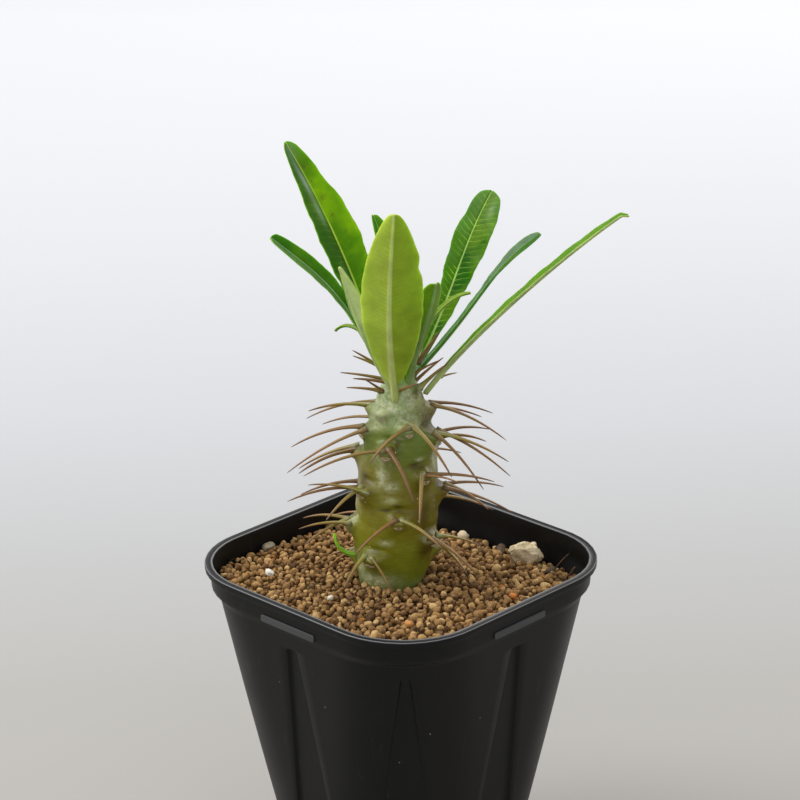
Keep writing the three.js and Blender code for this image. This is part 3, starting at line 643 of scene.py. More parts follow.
def skinMaterial():
    # living stem under a thin coat of plant wax: smooth, faintly lined, pale where the wax is thick and where
    # highlights are painted in the same pale colour
    material, tree, place = newMaterial("waxed succulent skin")
    level = addNode(tree, "Attribute", {"attribute_name": "level"}).outputs["Fac"]
    cloud = addNode(tree, "TexNoise", {"Scale": 130.0, "Detail": 4.0, "Roughness": 0.55}, {"Vector": place})
    shift = addNode(tree, "Math", {"operation": "MULTIPLY_ADD", 1: 0.3}, {0: cloud, 2: level})
    base = addNode(tree, "ValToRGB", {"stops": stem["greens"]}, {"Fac": shift})
    patch = addNode(tree, "TexNoise", {"Scale": 75.0, "Detail": 2.0}, {"Vector": place})
    olive = addNode(tree, "MapRange", {"From Min": 0.42, "From Max": 0.66, "To Max": 0.8}, {"Value": patch})
    tinted = addNode(tree, "MixRGB", {"Color2": hexColor(stem["olive"])}, {"Fac": olive, "Color1": base})
    lines = addNode(tree, "Mapping", {"Scale": (420.0, 420.0, 2600.0), "Rotation": (0.12, 0.1, 0.0)},
                    {"Vector": place})
    striped = addNode(tree, "TexNoise", {"Scale": 1.0, "Detail": 2.0}, {"Vector": lines})
    faint = addNode(tree, "MapRange", {"From Min": 0.3, "From Max": 0.7, "To Min": 0.88, "To Max": 1.1},
                    {"Value": striped})
    lined = addNode(tree, "MixRGB", {"blend_type": "MULTIPLY", "Fac": 1.0},
                    {"Color1": tinted, "Color2": faint})
    # pale wax colour: partly wax bloom, partly painted highlight
    wax = addNode(tree, "Attribute", {"attribute_name": "wax"}).outputs["Fac"]
    waxNoise = addNode(tree, "TexNoise", {"Scale": 900.0, "Detail": 4.0, "Roughness": 0.7},
                       {"Vector": place})
    waxAndSheenCut = addNode(tree, "MapRange", {"From Min": 0.38, "From Max": 0.62}, {"Value": waxNoise})
    waxAndSheenLines = addNode(tree, "Math", {"operation": "MULTIPLY_ADD", 1: 0.7}, {0: striped, 2: waxAndSheenCut})
    waxAndSheenShare = addNode(tree, "Math", {"operation": "MULTIPLY", "use_clamp": True}, {0: wax, 1: waxAndSheenLines})
    # dark brown: partly brown skin, partly painted shade in creases and spots
    brownedAndShaded = addNode(tree, "Attribute", {"attribute_name": "brown"}).outputs["Fac"]
    cork = addNode(tree, "Attribute", {"attribute_name": "cork"}).outputs["Fac"]
    corkCut = addNode(tree, "MapRange", {"From Min": 0.4, "From Max": 0.6}, {"Value": waxNoise})
    corky = addNode(tree, "Math", {"operation": "MULTIPLY", "use_clamp": True}, {0: cork, 1: corkCut})
    speck = speckShare(tree, place, stem["speckSpacing"], stem["speckSize"], stem["speckEmpty"])
    color = layColors(tree, lined, stem, {"brown": brownedAndShaded, "bloomAndSheen": waxAndSheenShare, "scurf": corky, "speck": speck})
    rough = addNode(tree, "MapRange", {"To Min": 0.34, "To Max": 0.6}, {"Value": waxAndSheenShare})
    ridges = addNode(tree, "Bump", {"Strength": 0.35, "Distance": 0.0001}, {"Height": striped})
    grain = addNode(tree, "Bump", {"Strength": 0.3, "Distance": 0.00015},
                    {"Height": waxNoise, "Normal": ridges})
    shader = addNode(tree, "BsdfPrincipled",
                     {"IOR": 1.45, "Specular IOR Level": 0.4, "Subsurface Weight": 0.1,
                      "Subsurface Radius": (1.0, 1.0, 0.1), "Subsurface Scale": 0.0012},
                     {"Base Color": color, "Roughness": rough, "Normal": grain})
    return finishMaterial(material, shader)


def makeStem():
    low, high = stem["rootTip"], stem["profile"][-1][0]
    heights = low + (high - low) * np.linspace(0, 1, stem["rings"])
    angles = np.arange(stem["sides"]) * 360 / stem["sides"]
    height, angle = np.meshgrid(heights, angles, indexing="ij")
    points = stemPoints(angle, height)
    flat = points.reshape(-1, 3)
    turn = np.radians(angle)
    outward = np.stack([np.cos(turn), np.sin(turn), 0 * turn], axis=-1).reshape(-1, 3)
    wobble = [0.16 * noise.noise(Vector(p) * 0.35) + 0.05 * noise.noise(Vector(p) * 1.1) for p in flat]
    flat = flat + outward * np.array(wobble)[:, None]
    heightList = height.ravel()
    level = (heightList - 90) / (high - 90)
    # wax lies thick on the crown's front and left, with a painted highlight where it faces the window light; thin
    # lower down
    windowSide = outwardAt(stem["litSide"])
    facing = outward @ windowSide
    crownWax = smoothStep(heightList, 138, 146) * (1 - smoothStep(heightList, 151, 153))
    footWax = 1 - smoothStep(heightList, 92, 99)
    wax = crownWax * smoothStep(facing, 0.0, 0.8) * 0.5 + 0.1 * crownWax + 0.35 * footWax
    cork, brown = np.zeros(len(flat)), np.zeros(len(flat))
    radius, _ = stemReach(angle, height)

    def nearness(place, tall, wide, high):
        around = (np.radians(wrapDegrees(angle - place)) * radius).ravel()
        return np.exp(-(around / wide) ** 2 - ((heightList - tall) / high) ** 2)

    # spots of painted highlight, in the pale wax colour
    for place, tall, wide, high, amount in stem["waxAndHighlightSpots"]:
        wax = np.maximum(wax, amount * nearness(place, tall, wide, high))
    # dark brown spots, partly brown skin and partly painted shade
    for place, tall, wide, high, amount in stem["brownSpots"]:
        brown = np.maximum(brown, amount * nearness(place, tall, wide, high))
    for _, start, tall in tubercles():
        around = (np.radians(wrapDegrees(angle - start)) * radius).ravel()
        along = heightList - tall
        # a dark brown arch in the crease over each spine pair: painted crease shade on brownish skin
        rim = ((along - stem["brownShadeAbove"] + 0.25 * np.abs(around)) / 0.8) ** 2
        brown = np.maximum(brown, 0.6 * np.exp(-rim - (around / 3.0) ** 2))
        for hand in (-1, 1):
            d = ((around - hand * spines["apart"]) / 1.15) ** 2 + ((along - 0.3) / 1.0) ** 2
            cork = np.maximum(cork, 0.75 * np.exp(-d))
        d = (around / 1.5) ** 2 + ((along + stem["scar"]["below"]) / 0.95) ** 2
        cork = np.maximum(cork, 0.8 * np.exp(-d))
    topCork = smoothStep(heightList, 138, 144) * smoothStep(-facing, -0.15, 0.7) * 0.7
    cork = np.maximum(cork, topCork)
    faces = loftFaces(stem["rings"], stem["sides"])
    newPiece("stem_skin", flat, faces, skinMaterial(), ("stem",),
             {"level": level, "wax": wax, "cork": cork, "brown": brown})


def skinFrame(angle, height):  # a point on the skin with its outward, around and along directions
    spot = stemPoints(np.array([angle]), np.array([float(height)]))[0]
    aroundStep = stemPoints(np.array([angle + 1.5]), np.array([float(height)]))[0]
    alongStep = stemPoints(np.array([angle]), np.array([height + 0.4]))[0]
    around = aroundStep - spot
    around /= np.linalg.norm(around)
    outward = np.cross(around, alongStep - spot)
    outward /= np.linalg.norm(outward)
    return spot, outward, around, np.cross(outward, around)


def scarMaterial():
    # dry cork left where a leaf fell: matt, beige, cracked
    material, tree, place = newMaterial("leaf scar cork")
    crack = addNode(tree, "TexNoise", {"Scale": 2600.0, "Detail": 4.0, "Roughness": 0.7}, {"Vector": place})
    tone = addNode(tree, "ValToRGB",
                   {"stops": [(0.3, stem["scarEdge"]), (0.5, stem["scarColor"]), (0.75, stem["scarPale"])]},
                   {"Fac": crack})
    bump = addNode(tree, "Bump", {"Strength": 0.7, "Distance": 0.0002}, {"Height": crack})
    shader = addNode(tree, "BsdfPrincipled", {"Roughness": 0.85}, {"Base Color": tone, "Normal": bump})
    return finishMaterial(material, shader)


def makeScars():
    rng = np.random.default_rng(31)
    scar = stem["scar"]
    parts = []
    for number, start, level in tubercles():
        if number > scar["lastNumber"]:
            continue
        spot, outward, around, along = skinFrame(start, level - scar["below"])
        wide, tall = scar["wide"] * rng.uniform(0.8, 1.15), scar["tall"] * rng.uniform(0.85, 1.2)
        rings = []
        for share, lift in scar["section"]:
            ring = []
            for i in range(20):
                turn = 2 * math.pi * i / 20
                wave = 1 + 0.07 * math.sin(3 * turn + number)
                ring.append(spot + outward * lift + around * wide * share * wave * math.cos(turn)
                            + along * tall * share * wave * math.sin(turn))
            rings.append(ring)
        parts.append((np.array(rings).reshape(-1, 3), loftFaces(len(rings), 20), {}))
    points, faces, _ = joinParts(parts)
    newPiece("leaf_scars", points, faces, scarMaterial())


# spines: two or three at each tubercle, as (spread, droop, length); those in view follow the photograph

spines = {
    "apart": 1.45, "lastNumber": 15, "sides": 10, "rings": 18, "base": 0.66, "tip": 0.05, "taper": 0.5,
    "flare": 1.0, "arch": 0.17,
    "usual": [(-50, 14, 17), (48, 12, 16)],
    "seen": {
        -7: [(10, 23, 9), (66, 16, 8)], -6: [(-71, 19, 12), (-43, 40, 10)], -5: [(4, 18, 12), (72, 42, 10)],
        -3: [(5, 28, 15), (48, 20, 12)], -2: [(-23, 5, 12), (2, 2, 13), (23, 18, 13)],
        0: [(-53, 23, 14), (46, 17, 14)], 2: [(-7, 18, 19), (3, 3, 15), (-29, 18, 13)],
        3: [(-21, 3, 19), (-42, -8, 15), (4, 23, 13)], 5: [(-38, 33, 15), (45, 2, 17), (16, -6, 11)],
        6: [(4, 25, 17), (47, 8, 17)], 7: [(-62, -8, 14), (-16, 0, 15)], 8: [(-51, 9, 22), (47, 38, 16)],
        10: [(-6, 42, 19), (7, 29, 22), (14, 20, 20)], 11: [(-18, 16, 19), (-5, 25, 23)],
        13: [(-57, 20, 15), (29, 34, 17)], 14: [(38, 12, 18), (58, -5, 17)],
        15: [(-24, 22, 21), (-10, 10, 16)],
    },
    "tufts": [  # from and to, between the leaf roots, with the thickness
        ((-3.8, -5.0, 156.8), (-8.4, -9.5, 161.1), 0.6), ((-3.1, -5.7, 157.0), (-7.0, -10.9, 160.3), 0.55),
        ((-0.3, -4.5, 153.2), (-8.7, -13.9, 155.9), 0.65), ((0.7, -4.9, 152.7), (-4.2, -13.7, 155.3), 0.7),
        ((-3.7, -6.3, 150.1), (-8.3, -12.1, 151.2), 0.6), ((-2.1, -6.2, 151.0), (-3.9, -9.3, 153.8), 0.5),
        ((4.7, 0.4, 154.9), (11.1, 3.7, 159.6), 0.55), ((5.5, 2.5, 159.1), (9.9, 5.3, 167.0), 0.8),
        ((6.8, 2.3, 152.2), (12.0, 6.0, 158.3), 0.8), ((7.0, 10.8, 152.3), (8.3, 13.6, 152.6), 0.4),
        ((4.3, -4.2, 151.5), (9.6, -3.3, 154.3), 0.7), ((-4.0, 4.0, 150.0), (-9.0, 12.0, 156.0), 0.6),
        ((0.0, 6.0, 150.0), (2.0, 15.0, 155.0), 0.6),
    ],
    "gold": [(0.0, "#6E5C38"), (0.08, "#7C5C2E"), (0.3, "#8C6630"), (0.7, "#8A5E28"), (0.93, "#784C22"),
             (1.0, "#42291A")],
    "green": [(0.0, "#9AA070"), (0.12, "#8E9044"), (0.4, "#90802E"), (0.75, "#8E6C2C"), (1.0, "#4E341E")],
    "streak": "#4A3015",
}


def spineMaterial():
    # hardened stipules, horn-like: satin, golden with a greener base and a dark tip
    material, tree, place = newMaterial("hardened spine, horn-like")
    along = addNode(tree, "Attribute", {"attribute_name": "along"}).outputs["Fac"]
    tone = addNode(tree, "Attribute", {"attribute_name": "tone"}).outputs["Fac"]
    streak = addNode(tree, "TexNoise", {"Scale": 700.0, "Detail": 3.0}, {"Vector": place})
    moved = addNode(tree, "Math", {"operation": "MULTIPLY_ADD", 1: 0.22}, {0: streak, 2: along})
    shifted = addNode(tree, "Math", {"operation": "SUBTRACT", 1: 0.11}, {0: moved})
    gold = addNode(tree, "ValToRGB", {"stops": spines["gold"]}, {"Fac": shifted})
    green = addNode(tree, "ValToRGB", {"stops": spines["green"]}, {"Fac": shifted})
    young = addNode(tree, "MapRange", {"From Min": 0.35, "From Max": 0.75, "To Max": 0.9}, {"Value": tone})
    mixed = addNode(tree, "MixRGB", {}, {"Fac": young, "Color1": gold, "Color2": green})
    dark = addNode(tree, "MapRange", {"From Min": 0.0, "From Max": 0.4, "To Min": 0.72, "To Max": 1.05},
                   {"Value": tone})
    toned = addNode(tree, "MixRGB", {"blend_type": "MULTIPLY", "Fac": 1.0},
                    {"Color1": mixed, "Color2": dark})
    # grain runs along the spine: fine round it, long along it
    turn = addNode(tree, "Attribute", {"attribute_name": "turn"}).outputs["Fac"]
    fibre = addNode(tree, "CombineXYZ", {}, {"X": turn, "Y": along, "Z": tone})
    drawn = addNode(tree, "Mapping", {"Scale": (9.0, 2.2, 90.0)}, {"Vector": fibre})
    grain = addNode(tree, "TexNoise", {"Scale": 1.0, "Detail": 2.0}, {"Vector": drawn})
    amount = addNode(tree, "MapRange", {"From Min": 0.48, "From Max": 0.66, "To Max": 0.65},
                     {"Value": grain})
    color = addNode(tree, "MixRGB", {"Color2": hexColor(spines["streak"])},
                    {"Fac": amount, "Color1": toned})
    bump = addNode(tree, "Bump", {"Strength": 0.25, "Distance": 0.0001}, {"Height": streak})
    shader = addNode(tree, "BsdfPrincipled", {"Roughness": 0.42, "IOR": 1.54},
                     {"Base Color": color, "Normal": bump})
    return finishMaterial(material, shader)


def spinePart(root, tip, arch, base, tone):
    # a tapered tube on a bent path, its root sunk in the skin
    chord = tip - root
    length = np.linalg.norm(chord)
    start = root - chord / length * 1.6
    middle = (start + tip) / 2 + upward * arch * length
    shares = 1 - (1 - np.linspace(0, 1, spines["rings"])) ** 1.25
    path = [(1 - s) ** 2 * start + 2 * s * (1 - s) * middle + s * s * tip for s in shares]
    heading = [2 * (1 - s) * (middle - start) + 2 * s * (tip - middle) for s in shares]
    rings = []
    for s, spot, way in zip(shares, path, heading):
        way = way / np.linalg.norm(way)
        side = np.cross(way, upward)
        side /= np.linalg.norm(side)
        top = np.cross(side, way)
        radius = base * ((1 - s) ** spines["taper"] + spines["flare"] * (1 - s) ** 11) + spines["tip"]
        rings.append([spot + side * -radius * math.cos(t) + top * 0.72 * radius * math.sin(t)
                      for t in np.linspace(0, 2 * math.pi, spines["sides"], endpoint=False)])
    points = np.array(rings).reshape(-1, 3)
    return points, loftFaces(len(rings), spines["sides"]), {
        "along": np.repeat(shares, spines["sides"]), "tone": np.full(len(points), tone),
        "turn": np.tile(np.abs(np.linspace(-1, 1, spines["sides"], endpoint=False)), len(shares))}


def makeSpines():
    rng = np.random.default_rng(17)
    parts = []
    for number, start, level in tubercles():
        if number > spines["lastNumber"]:
            continue
        wanted = spines["seen"].get(number, spines["usual"])
        outward, around = outwardAt(start), outwardAt(start + 90)
        for k, (spread, droop, length) in enumerate(wanted):
            hand = (-1, 1, 0)[k]
            spot, *_ = skinFrame(start + math.degrees(hand * spines["apart"] / 11.5), level + 0.3)
            s, d = math.radians(spread), math.radians(droop)
            chord = (outward * math.cos(s) * math.cos(d) + around * math.sin(s) * math.cos(d)
                     - upward * math.sin(d))
            base = spines["base"] * (0.72 if length < 12 else 1.0) * rng.uniform(0.88, 1.08)
            arch = spines["arch"] * rng.uniform(0.7, 1.15)
            parts.append(spinePart(spot, spot + chord * length, arch, base, rng.uniform()))
    for start, end, base in spines["tufts"]:
        parts.append(spinePart(np.array(start), np.array(end), 0.06, base, rng.uniform(0.1, 0.9)))
    points, faces, attributes = joinParts(parts)
    newPiece("spines", points, faces, spineMaterial(), (), attributes)
    print("spines", len(parts))


# leaves

leafShape = {
    "petioleHalf": 1.0, "petioleShare": 0.1, "taper": 4, "tipHalf": 0.35, "thick": 0.62, "edgeThick": 0.26,
    "step": 0.7, "crowding": 1.3, "columns": 30, "waveLength": 10.0, "curlFrom": 0.93,
    "ribHeight": (1.05, 0.12), "ribHalf": (1.15, 0.35), "veinSlant": 0.45, "ragged": 0.13, "tipRound": 0.02,
}
# angle, radius and height of the root, angle, reach and height of the tip, rise at root and tip and how far
# it is held, then the blade; bow sets the rib off its plane, lean makes one half the wider, and a dent takes
# some width off one half: which half, where along the leaf, how deep, how long
leaves = {
    "leaf_front": {"root": (-59, 5.7, 149), "tip": (-48.5, 29.2, 208.3), "rise": (65, 77),
                   "hold": (0.32, 0.4), "width": 16.4, "widest": 0.55, "blunt": 0.58, "fold": 8, "roll": -4, "wave": 0.25,
                   "bow": -1.4, "lean": 0.07, "dents": [(1, 0.83, -0.3, 0.03), (1, 0.76, 0.5, 0.03)]},
    "leaf_left_large": {"root": (-179, 1.8, 150.9), "tip": (-164.2, 34, 214.1), "rise": (65, 55),
                        "hold": (0.39, 0.41), "width": 13.7, "widest": 0.55, "blunt": 0.8, "fold": 15,
                        "roll": -18, "wave": 0.25, "tipHalf": 1.4, "dents": [(-1, 0.84, 0.7, 0.05)]},
    "leaf_left_low": {"root": (-94, 2.1, 150.7), "tip": (-129.5, 33.8, 194), "rise": (63.5, 40.4),
                      "hold": (0.59, 0.38), "width": 6.7, "widest": 0.68, "blunt": 0.39, "fold": 20,
                      "roll": -30, "wave": 0.1, "lean": 0.05, "tipHalf": 0.9},
    "leaf_left_young": {"root": (-61, 3.6, 150.1), "tip": (-98.9, 19.4, 188.4), "rise": (58, 71),
                        "hold": (0.41, 0.34), "width": 8, "widest": 0.59, "blunt": 1.1, "fold": 19,
                        "roll": 8, "wave": 0.1},
    "leaf_left_hook": {"root": (171, 4.4, 149.8), "tip": (-162, 19.5, 163.3), "rise": (74, -52),
                       "hold": (0.76, 0.28), "width": 1.8, "widest": 0.6, "blunt": 0.9, "fold": 10,
                       "roll": 0, "wave": 0},
    "leaf_back_small": {"root": (131, 4.6, 149.9), "tip": (152.3, 21.7, 192.1), "rise": (65, 42),
                        "hold": (0.35, 0.37), "width": 8.1, "widest": 0.61, "blunt": 0.53, "fold": 28,
                        "roll": 14, "wave": 0.15, "bow": -0.9},
    "leaf_back_right": {"root": (99, 5.2, 151.4), "tip": (83, 32.3, 198.8), "rise": (53, 52),
                        "hold": (0.42, 0.33), "width": 12.7, "widest": 0.71, "blunt": 0.5, "fold": 3,
                        "roll": 3, "wave": 0.2, "lean": -0.14, "tipHalf": 1.7,
                        "dents": [(1, 0.85, 0.7, 0.06)]},
    "leaf_right_short": {"root": (3, 3, 150.1), "tip": (-12.6, 16.7, 184.4), "rise": (80, 77),
                         "hold": (0.35, 0.27), "width": 8.3, "widest": 0.72, "blunt": 0.4, "fold": 21,
                         "roll": -2, "wave": 0.12},
    "leaf_right_curl": {"root": (44, 2.5, 151.7), "tip": (48, 19, 176.5), "rise": (88, 4),
                        "hold": (0.32, 0.31), "width": 2.7, "widest": 0.6, "blunt": 0.6, "fold": 14,
                        "roll": 0, "wave": 0},
    "leaf_right_narrow": {"root": (80, 3.9, 152.8), "tip": (53.9, 38.1, 191.1), "rise": (46.1, 31.4),
                          "hold": (0.54, 0.32), "width": 5.4, "widest": 0.86, "blunt": 0.83, "fold": 8,
                          "roll": 8, "wave": 0.1, "lean": -0.06, "tipHalf": 0.9},
    "leaf_right_long": {"root": (38, 6.3, 149), "tip": (35.5, 60.2, 202.3), "rise": (54.6, 33.8),
                        "hold": (0.33, 0.15), "curl": 1.2, "width": 6.5, "widest": 0.57, "blunt": 0.55,
                        "fold": 9, "roll": 2, "wave": 0.12, "lean": -0.07},
    "leaf_foot": {"root": (-127, 10.4, 101.8), "tip": (-129.7, 17.9, 108.3), "rise": (0, 88),
                  "hold": (0.55, 0.45), "width": 2, "widest": 0.5, "blunt": 0.9, "fold": 10, "roll": 0, "wave": 0},
}
# colours: the two halves of the upper side and of the lower, where they differ painted as a lit half and a shaded
# half, veins and rib of each side, the edge
commonLook = {
    "upper": ("#2A6E06", "#2A6E06"), "upperVein": "#7FA850", "upperRib": "#9DB96A", "upperVeins": 0.5,
    "lower": ("#7F9F3C", "#7F9F3C"), "lowerVein": "#6E8F30", "lowerRib": "#A9B77A", "lowerVeins": 0.5,
    "edge": "#7FAE2E", "edgeAmount": 0.5, "spacing": 1.7, "patch": "#8AA41C", "patches": 0.12,
    # gloss: the colour of a painted sky reflection
    "gloss": "#93A690", "blemish": "#6A5A1C",
}
looks = {
    "leaf_front": {"lower": ("#AEB84A", "#8E9C2C"), "lowerVein": "#748A24", "lowerRib": "#BCC27C",
                   "spacing": 1.35, "edge": "#A9BE52"},
    "leaf_left_large": {"upper": ("#5E8C00", "#345E02"), "upperVein": "#8CB81E", "upperVeins": 0.25,
                        "upperRib": "#C8D458", "edge": "#7CA814", "edgeAmount": 0.7, "spacing": 2.0,
                        "patch": "#8EB400", "patches": 0.75,
                        "paintedSheenSpots": [(0.86, 1.6, 0.07, 0.9, 0.8), (0.73, 1.9, 0.05, 0.9, 0.5),
                                       (0.97, 0.0, 0.03, 1.5, 0.35), (0.42, 2.5, 0.08, 1.2, 0.25)],
                        "blemishes": [(0.84, -0.8, 0.012, 0.5), (0.78, -1.6, 0.012, 0.8),
                                      (0.7, -1.8, 0.008, 0.6), (0.9, -0.9, 0.008, 0.4), (0.62, -3.4, 0.006, 0.4)]},
    "leaf_left_low": {"upper": ("#386E00", "#48702E"), "upperVein": "#5F8C3C", "upperVeins": 0.25,
                      "upperRib": "#96AE86", "lower": ("#6F9A38", "#86BC48"), "edge": "#7FAE44",
                      "edgeAmount": 0.7},
    "leaf_left_young": {"lower": ("#94A860", "#C8CE9A"), "lowerVein": "#9DB078", "lowerRib": "#C0C890",
                        "lowerVeins": 0.3, "spacing": 1.3, "edge": "#A8C07C"},
    "leaf_left_hook": {"upper": ("#6E783A", "#6E783A"), "lower": ("#6E783A", "#6E783A")},
    "leaf_back_small": {"upper": ("#3E7400", "#366A00"), "upperVein": "#6E9A3C", "spacing": 1.4},
    "leaf_back_right": {"upper": ("#225800", "#3E6C00"), "upperVein": "#96B440", "upperRib": "#A8C468",
                        "upperVeins": 0.8, "spacing": 1.7, "edge": "#4E8418", "patches": 0.3,
                        "paintedSheenSpots": [(0.9, -3.5, 0.04, 1.0, 0.3)]},
    "leaf_right_short": {"lower": ("#6E8816", "#6C8430"), "lowerVein": "#7C9440", "lowerRib": "#8A9C6C",
                         "lowerVeins": 0.3},
    "leaf_right_curl": {"upper": ("#768C30", "#768C30"), "lower": ("#6C8A20", "#6C8A20"),
                        "edge": "#8C9C4C"},
    "leaf_right_narrow": {"upper": ("#2E5C02", "#5A7454"), "lower": ("#3C7C14", "#5A8A50"),
                          "upperRib": "#7CA070", "upperVeins": 0.15, "edge": "#4A7C28"},
    "leaf_right_long": {"upper": ("#7C8E3E", "#528000"), "upperVein": "#6C8C24", "upperRib": "#4C6416",
                        "upperVeins": 0.2, "lower": ("#9CA66A", "#7A9C44"), "edge": "#A4B078",
                        "edgeAmount": 0.6},
    "leaf_foot": {"upper": ("#7CB41E", "#86BC28"), "lower": ("#86BC28", "#8FC434"), "edge": "#93C83C"},
}


def leafMaterial(name):
    # a living leaf: glossy cuticle above, softer and paler below, light coming through the blade
    look = {**commonLook, **looks[name]}
    material, tree, place = newMaterial("leaf cuticle, " + name[5:])
    read = {key: addNode(tree, "Attribute", {"attribute_name": key}).outputs["Fac"]
            for key in ("phase", "ribNear", "rim", "upper", "half", "gloss", "blemish")}
    cloud = addNode(tree, "TexNoise", {"Scale": 160.0, "Detail": 4.0, "Roughness": 0.6}, {"Vector": place})
    wander = addNode(tree, "TexNoise", {"Scale": 300.0, "Detail": 3.0}, {"Vector": place})
    moved = addNode(tree, "Math", {"operation": "MULTIPLY_ADD", 1: 0.8}, {0: wander, 2: read["phase"]})
    wave = addNode(tree, "Math", {"operation": "PINGPONG", 1: 0.5}, {0: moved})
    line = addNode(tree, "MapRange", {"From Min": 0.02, "From Max": 0.12, "To Min": 1.0, "To Max": 0.0},
                   {"Value": wave})
    broken = addNode(tree, "MapRange", {"From Min": 0.38, "From Max": 0.6, "To Min": 0.15},
                     {"Value": cloud})
    fade = addNode(tree, "MapRange", {"From Min": 0.2, "From Max": 0.95, "To Min": 1.0, "To Max": 0.1},
                   {"Value": read["rim"]})
    kept = addNode(tree, "Math", {"operation": "MULTIPLY"}, {0: line, 1: fade})
    vein = addNode(tree, "Math", {"operation": "MULTIPLY"}, {0: kept, 1: broken})
    sides = []
    for side, ribReach in (("lower", (0.7, 1.1)), ("upper", (0.28, 0.5))):
        minus, plus = (hexColor(code) for code in look[side])
        # where a leaf's two halves differ, one is painted lit and the other painted in shade
        litAndShadedHalves = addNode(tree, "MixRGB", {"Color1": minus, "Color2": plus}, {"Fac": read["half"]})
        amount = addNode(tree, "Math", {"operation": "MULTIPLY", 1: look[side + "Veins"]}, {0: vein})
        veined = addNode(tree, "MixRGB", {"Color2": hexColor(look[side + "Vein"])},
                         {"Fac": amount, "Color1": litAndShadedHalves})
        onRib = addNode(tree, "MapRange",
                        {"From Min": ribReach[0], "From Max": ribReach[1], "To Min": 0.9, "To Max": 0.0},
                        {"Value": read["ribNear"]})
        sides.append(addNode(tree, "MixRGB", {"Color2": hexColor(look[side + "Rib"])},
                             {"Fac": onRib, "Color1": veined}))
    sided = addNode(tree, "MixRGB", {}, {"Fac": read["upper"], "Color1": sides[0], "Color2": sides[1]})
    tint = addNode(tree, "TexNoise", {"Scale": 75.0, "Detail": 3.0}, {"Vector": place})
    yellowed = addNode(tree, "MapRange", {"From Min": 0.46, "From Max": 0.6, "To Max": look["patches"]},
                       {"Value": tint})
    onMinus = addNode(tree, "MapRange", {"To Min": 1.0, "To Max": 0.2}, {"Value": read["half"]})
    patchy = addNode(tree, "Math", {"operation": "MULTIPLY"}, {0: yellowed, 1: onMinus})
    specks = addNode(tree, "TexNoise", {"Scale": 1800.0, "Detail": 2.0}, {"Vector": place})
    speckled = addNode(tree, "MapRange", {"From Min": 0.42, "From Max": 0.6, "To Min": 0.2},
                       {"Value": specks})
    blemished = addNode(tree, "Math", {"operation": "MULTIPLY"}, {0: read["blemish"], 1: speckled})
    edge = addNode(tree, "MapRange", {"From Min": 0.955, "From Max": 0.99, "To Max": look["edgeAmount"]},
                   {"Value": read["rim"]})
    # gloss paints a sky reflection as colour
    edged = layColors(tree, sided, look,
                      {"patch": patchy, "gloss": read["gloss"], "blemish": blemished, "edge": edge})
    shade = addNode(tree, "MapRange", {"From Min": 0.3, "From Max": 0.7, "To Min": 0.8, "To Max": 1.18},
                    {"Value": cloud})
    color = addNode(tree, "MixRGB", {"blend_type": "MULTIPLY", "Fac": 1.0},
                    {"Color1": edged, "Color2": shade})
    rough = addNode(tree, "MapRange", {"To Min": 0.52, "To Max": 0.38}, {"Value": read["upper"]})
    quilt = addNode(tree, "Bump", {"Strength": 0.2, "Distance": 0.0002}, {"Height": wave})
    skin = addNode(tree, "TexNoise", {"Scale": 3000.0, "Detail": 2.0}, {"Vector": place})
    bump = addNode(tree, "Bump", {"Strength": 0.15, "Distance": 0.00006}, {"Height": skin, "Normal": quilt})
    shader = addNode(tree, "BsdfPrincipled",
                     {"IOR": 1.45, "Specular IOR Level": 0.12, "Subsurface Weight": 0.5,
                      "Subsurface Radius": (0.6, 1.0, 0.1), "Subsurface Scale": 0.0022},
                     {"Base Color": color, "Roughness": rough, "Normal": bump})
    return finishMaterial(material, shader)


def bezier(points, share):
    a, b, c, d = points
    back = 1 - share
    spot = back ** 3 * a + 3 * back ** 2 * share * b + 3 * back * share ** 2 * c + share ** 3 * d
    way = 3 * back ** 2 * (b - a) + 6 * back * share * (c - b) + 3 * share ** 2 * (d - c)
    return spot, way / np.linalg.norm(way)


def ribRoute(leaf):
    ends = []
    for angle, reach, height in (leaf["root"], leaf["tip"]):
        end = outwardAt(angle) * reach
        end[2] = height
        ends.append(end)
    root, tip = ends
    level = tip - root
    level[2] = 0
    level /= np.linalg.norm(level)
    aims = [level * math.cos(math.radians(r)) + upward * math.sin(math.radians(r)) for r in leaf["rise"]]
    holds = [share * np.linalg.norm(tip - root) for share in leaf["hold"]]
    return [root, root + aims[0] * holds[0], tip - aims[1] * holds[1], tip]


def halfWidth(leaf, share):
    shape = leafShape
    blade = min(max((share - shape["petioleShare"]) / (1 - shape["petioleShare"]), 0.0), 1.0)
    peak = math.log(0.5) / math.log(leaf["widest"])
    swell = max(math.sin(math.pi * blade ** peak), 0.0) ** leaf["blunt"]
    stalk = min(shape["petioleHalf"], leaf["width"] / 2)
    tipHalf = leaf.get("tipHalf", shape["tipHalf"])
    half = stalk + (tipHalf - stalk) * share ** shape["taper"] + (leaf["width"] / 2 - stalk) * swell
    over = max(share - 1 + shape["tipRound"] * tipHalf, 0.0) / (shape["tipRound"] * tipHalf)
    return half * math.sqrt(max(1 - over * over, 0.01))


def rotateAbout(vector, axis, degrees):
    return np.array(Matrix.Rotation(math.radians(degrees), 3, Vector(axis)) @ Vector(vector))


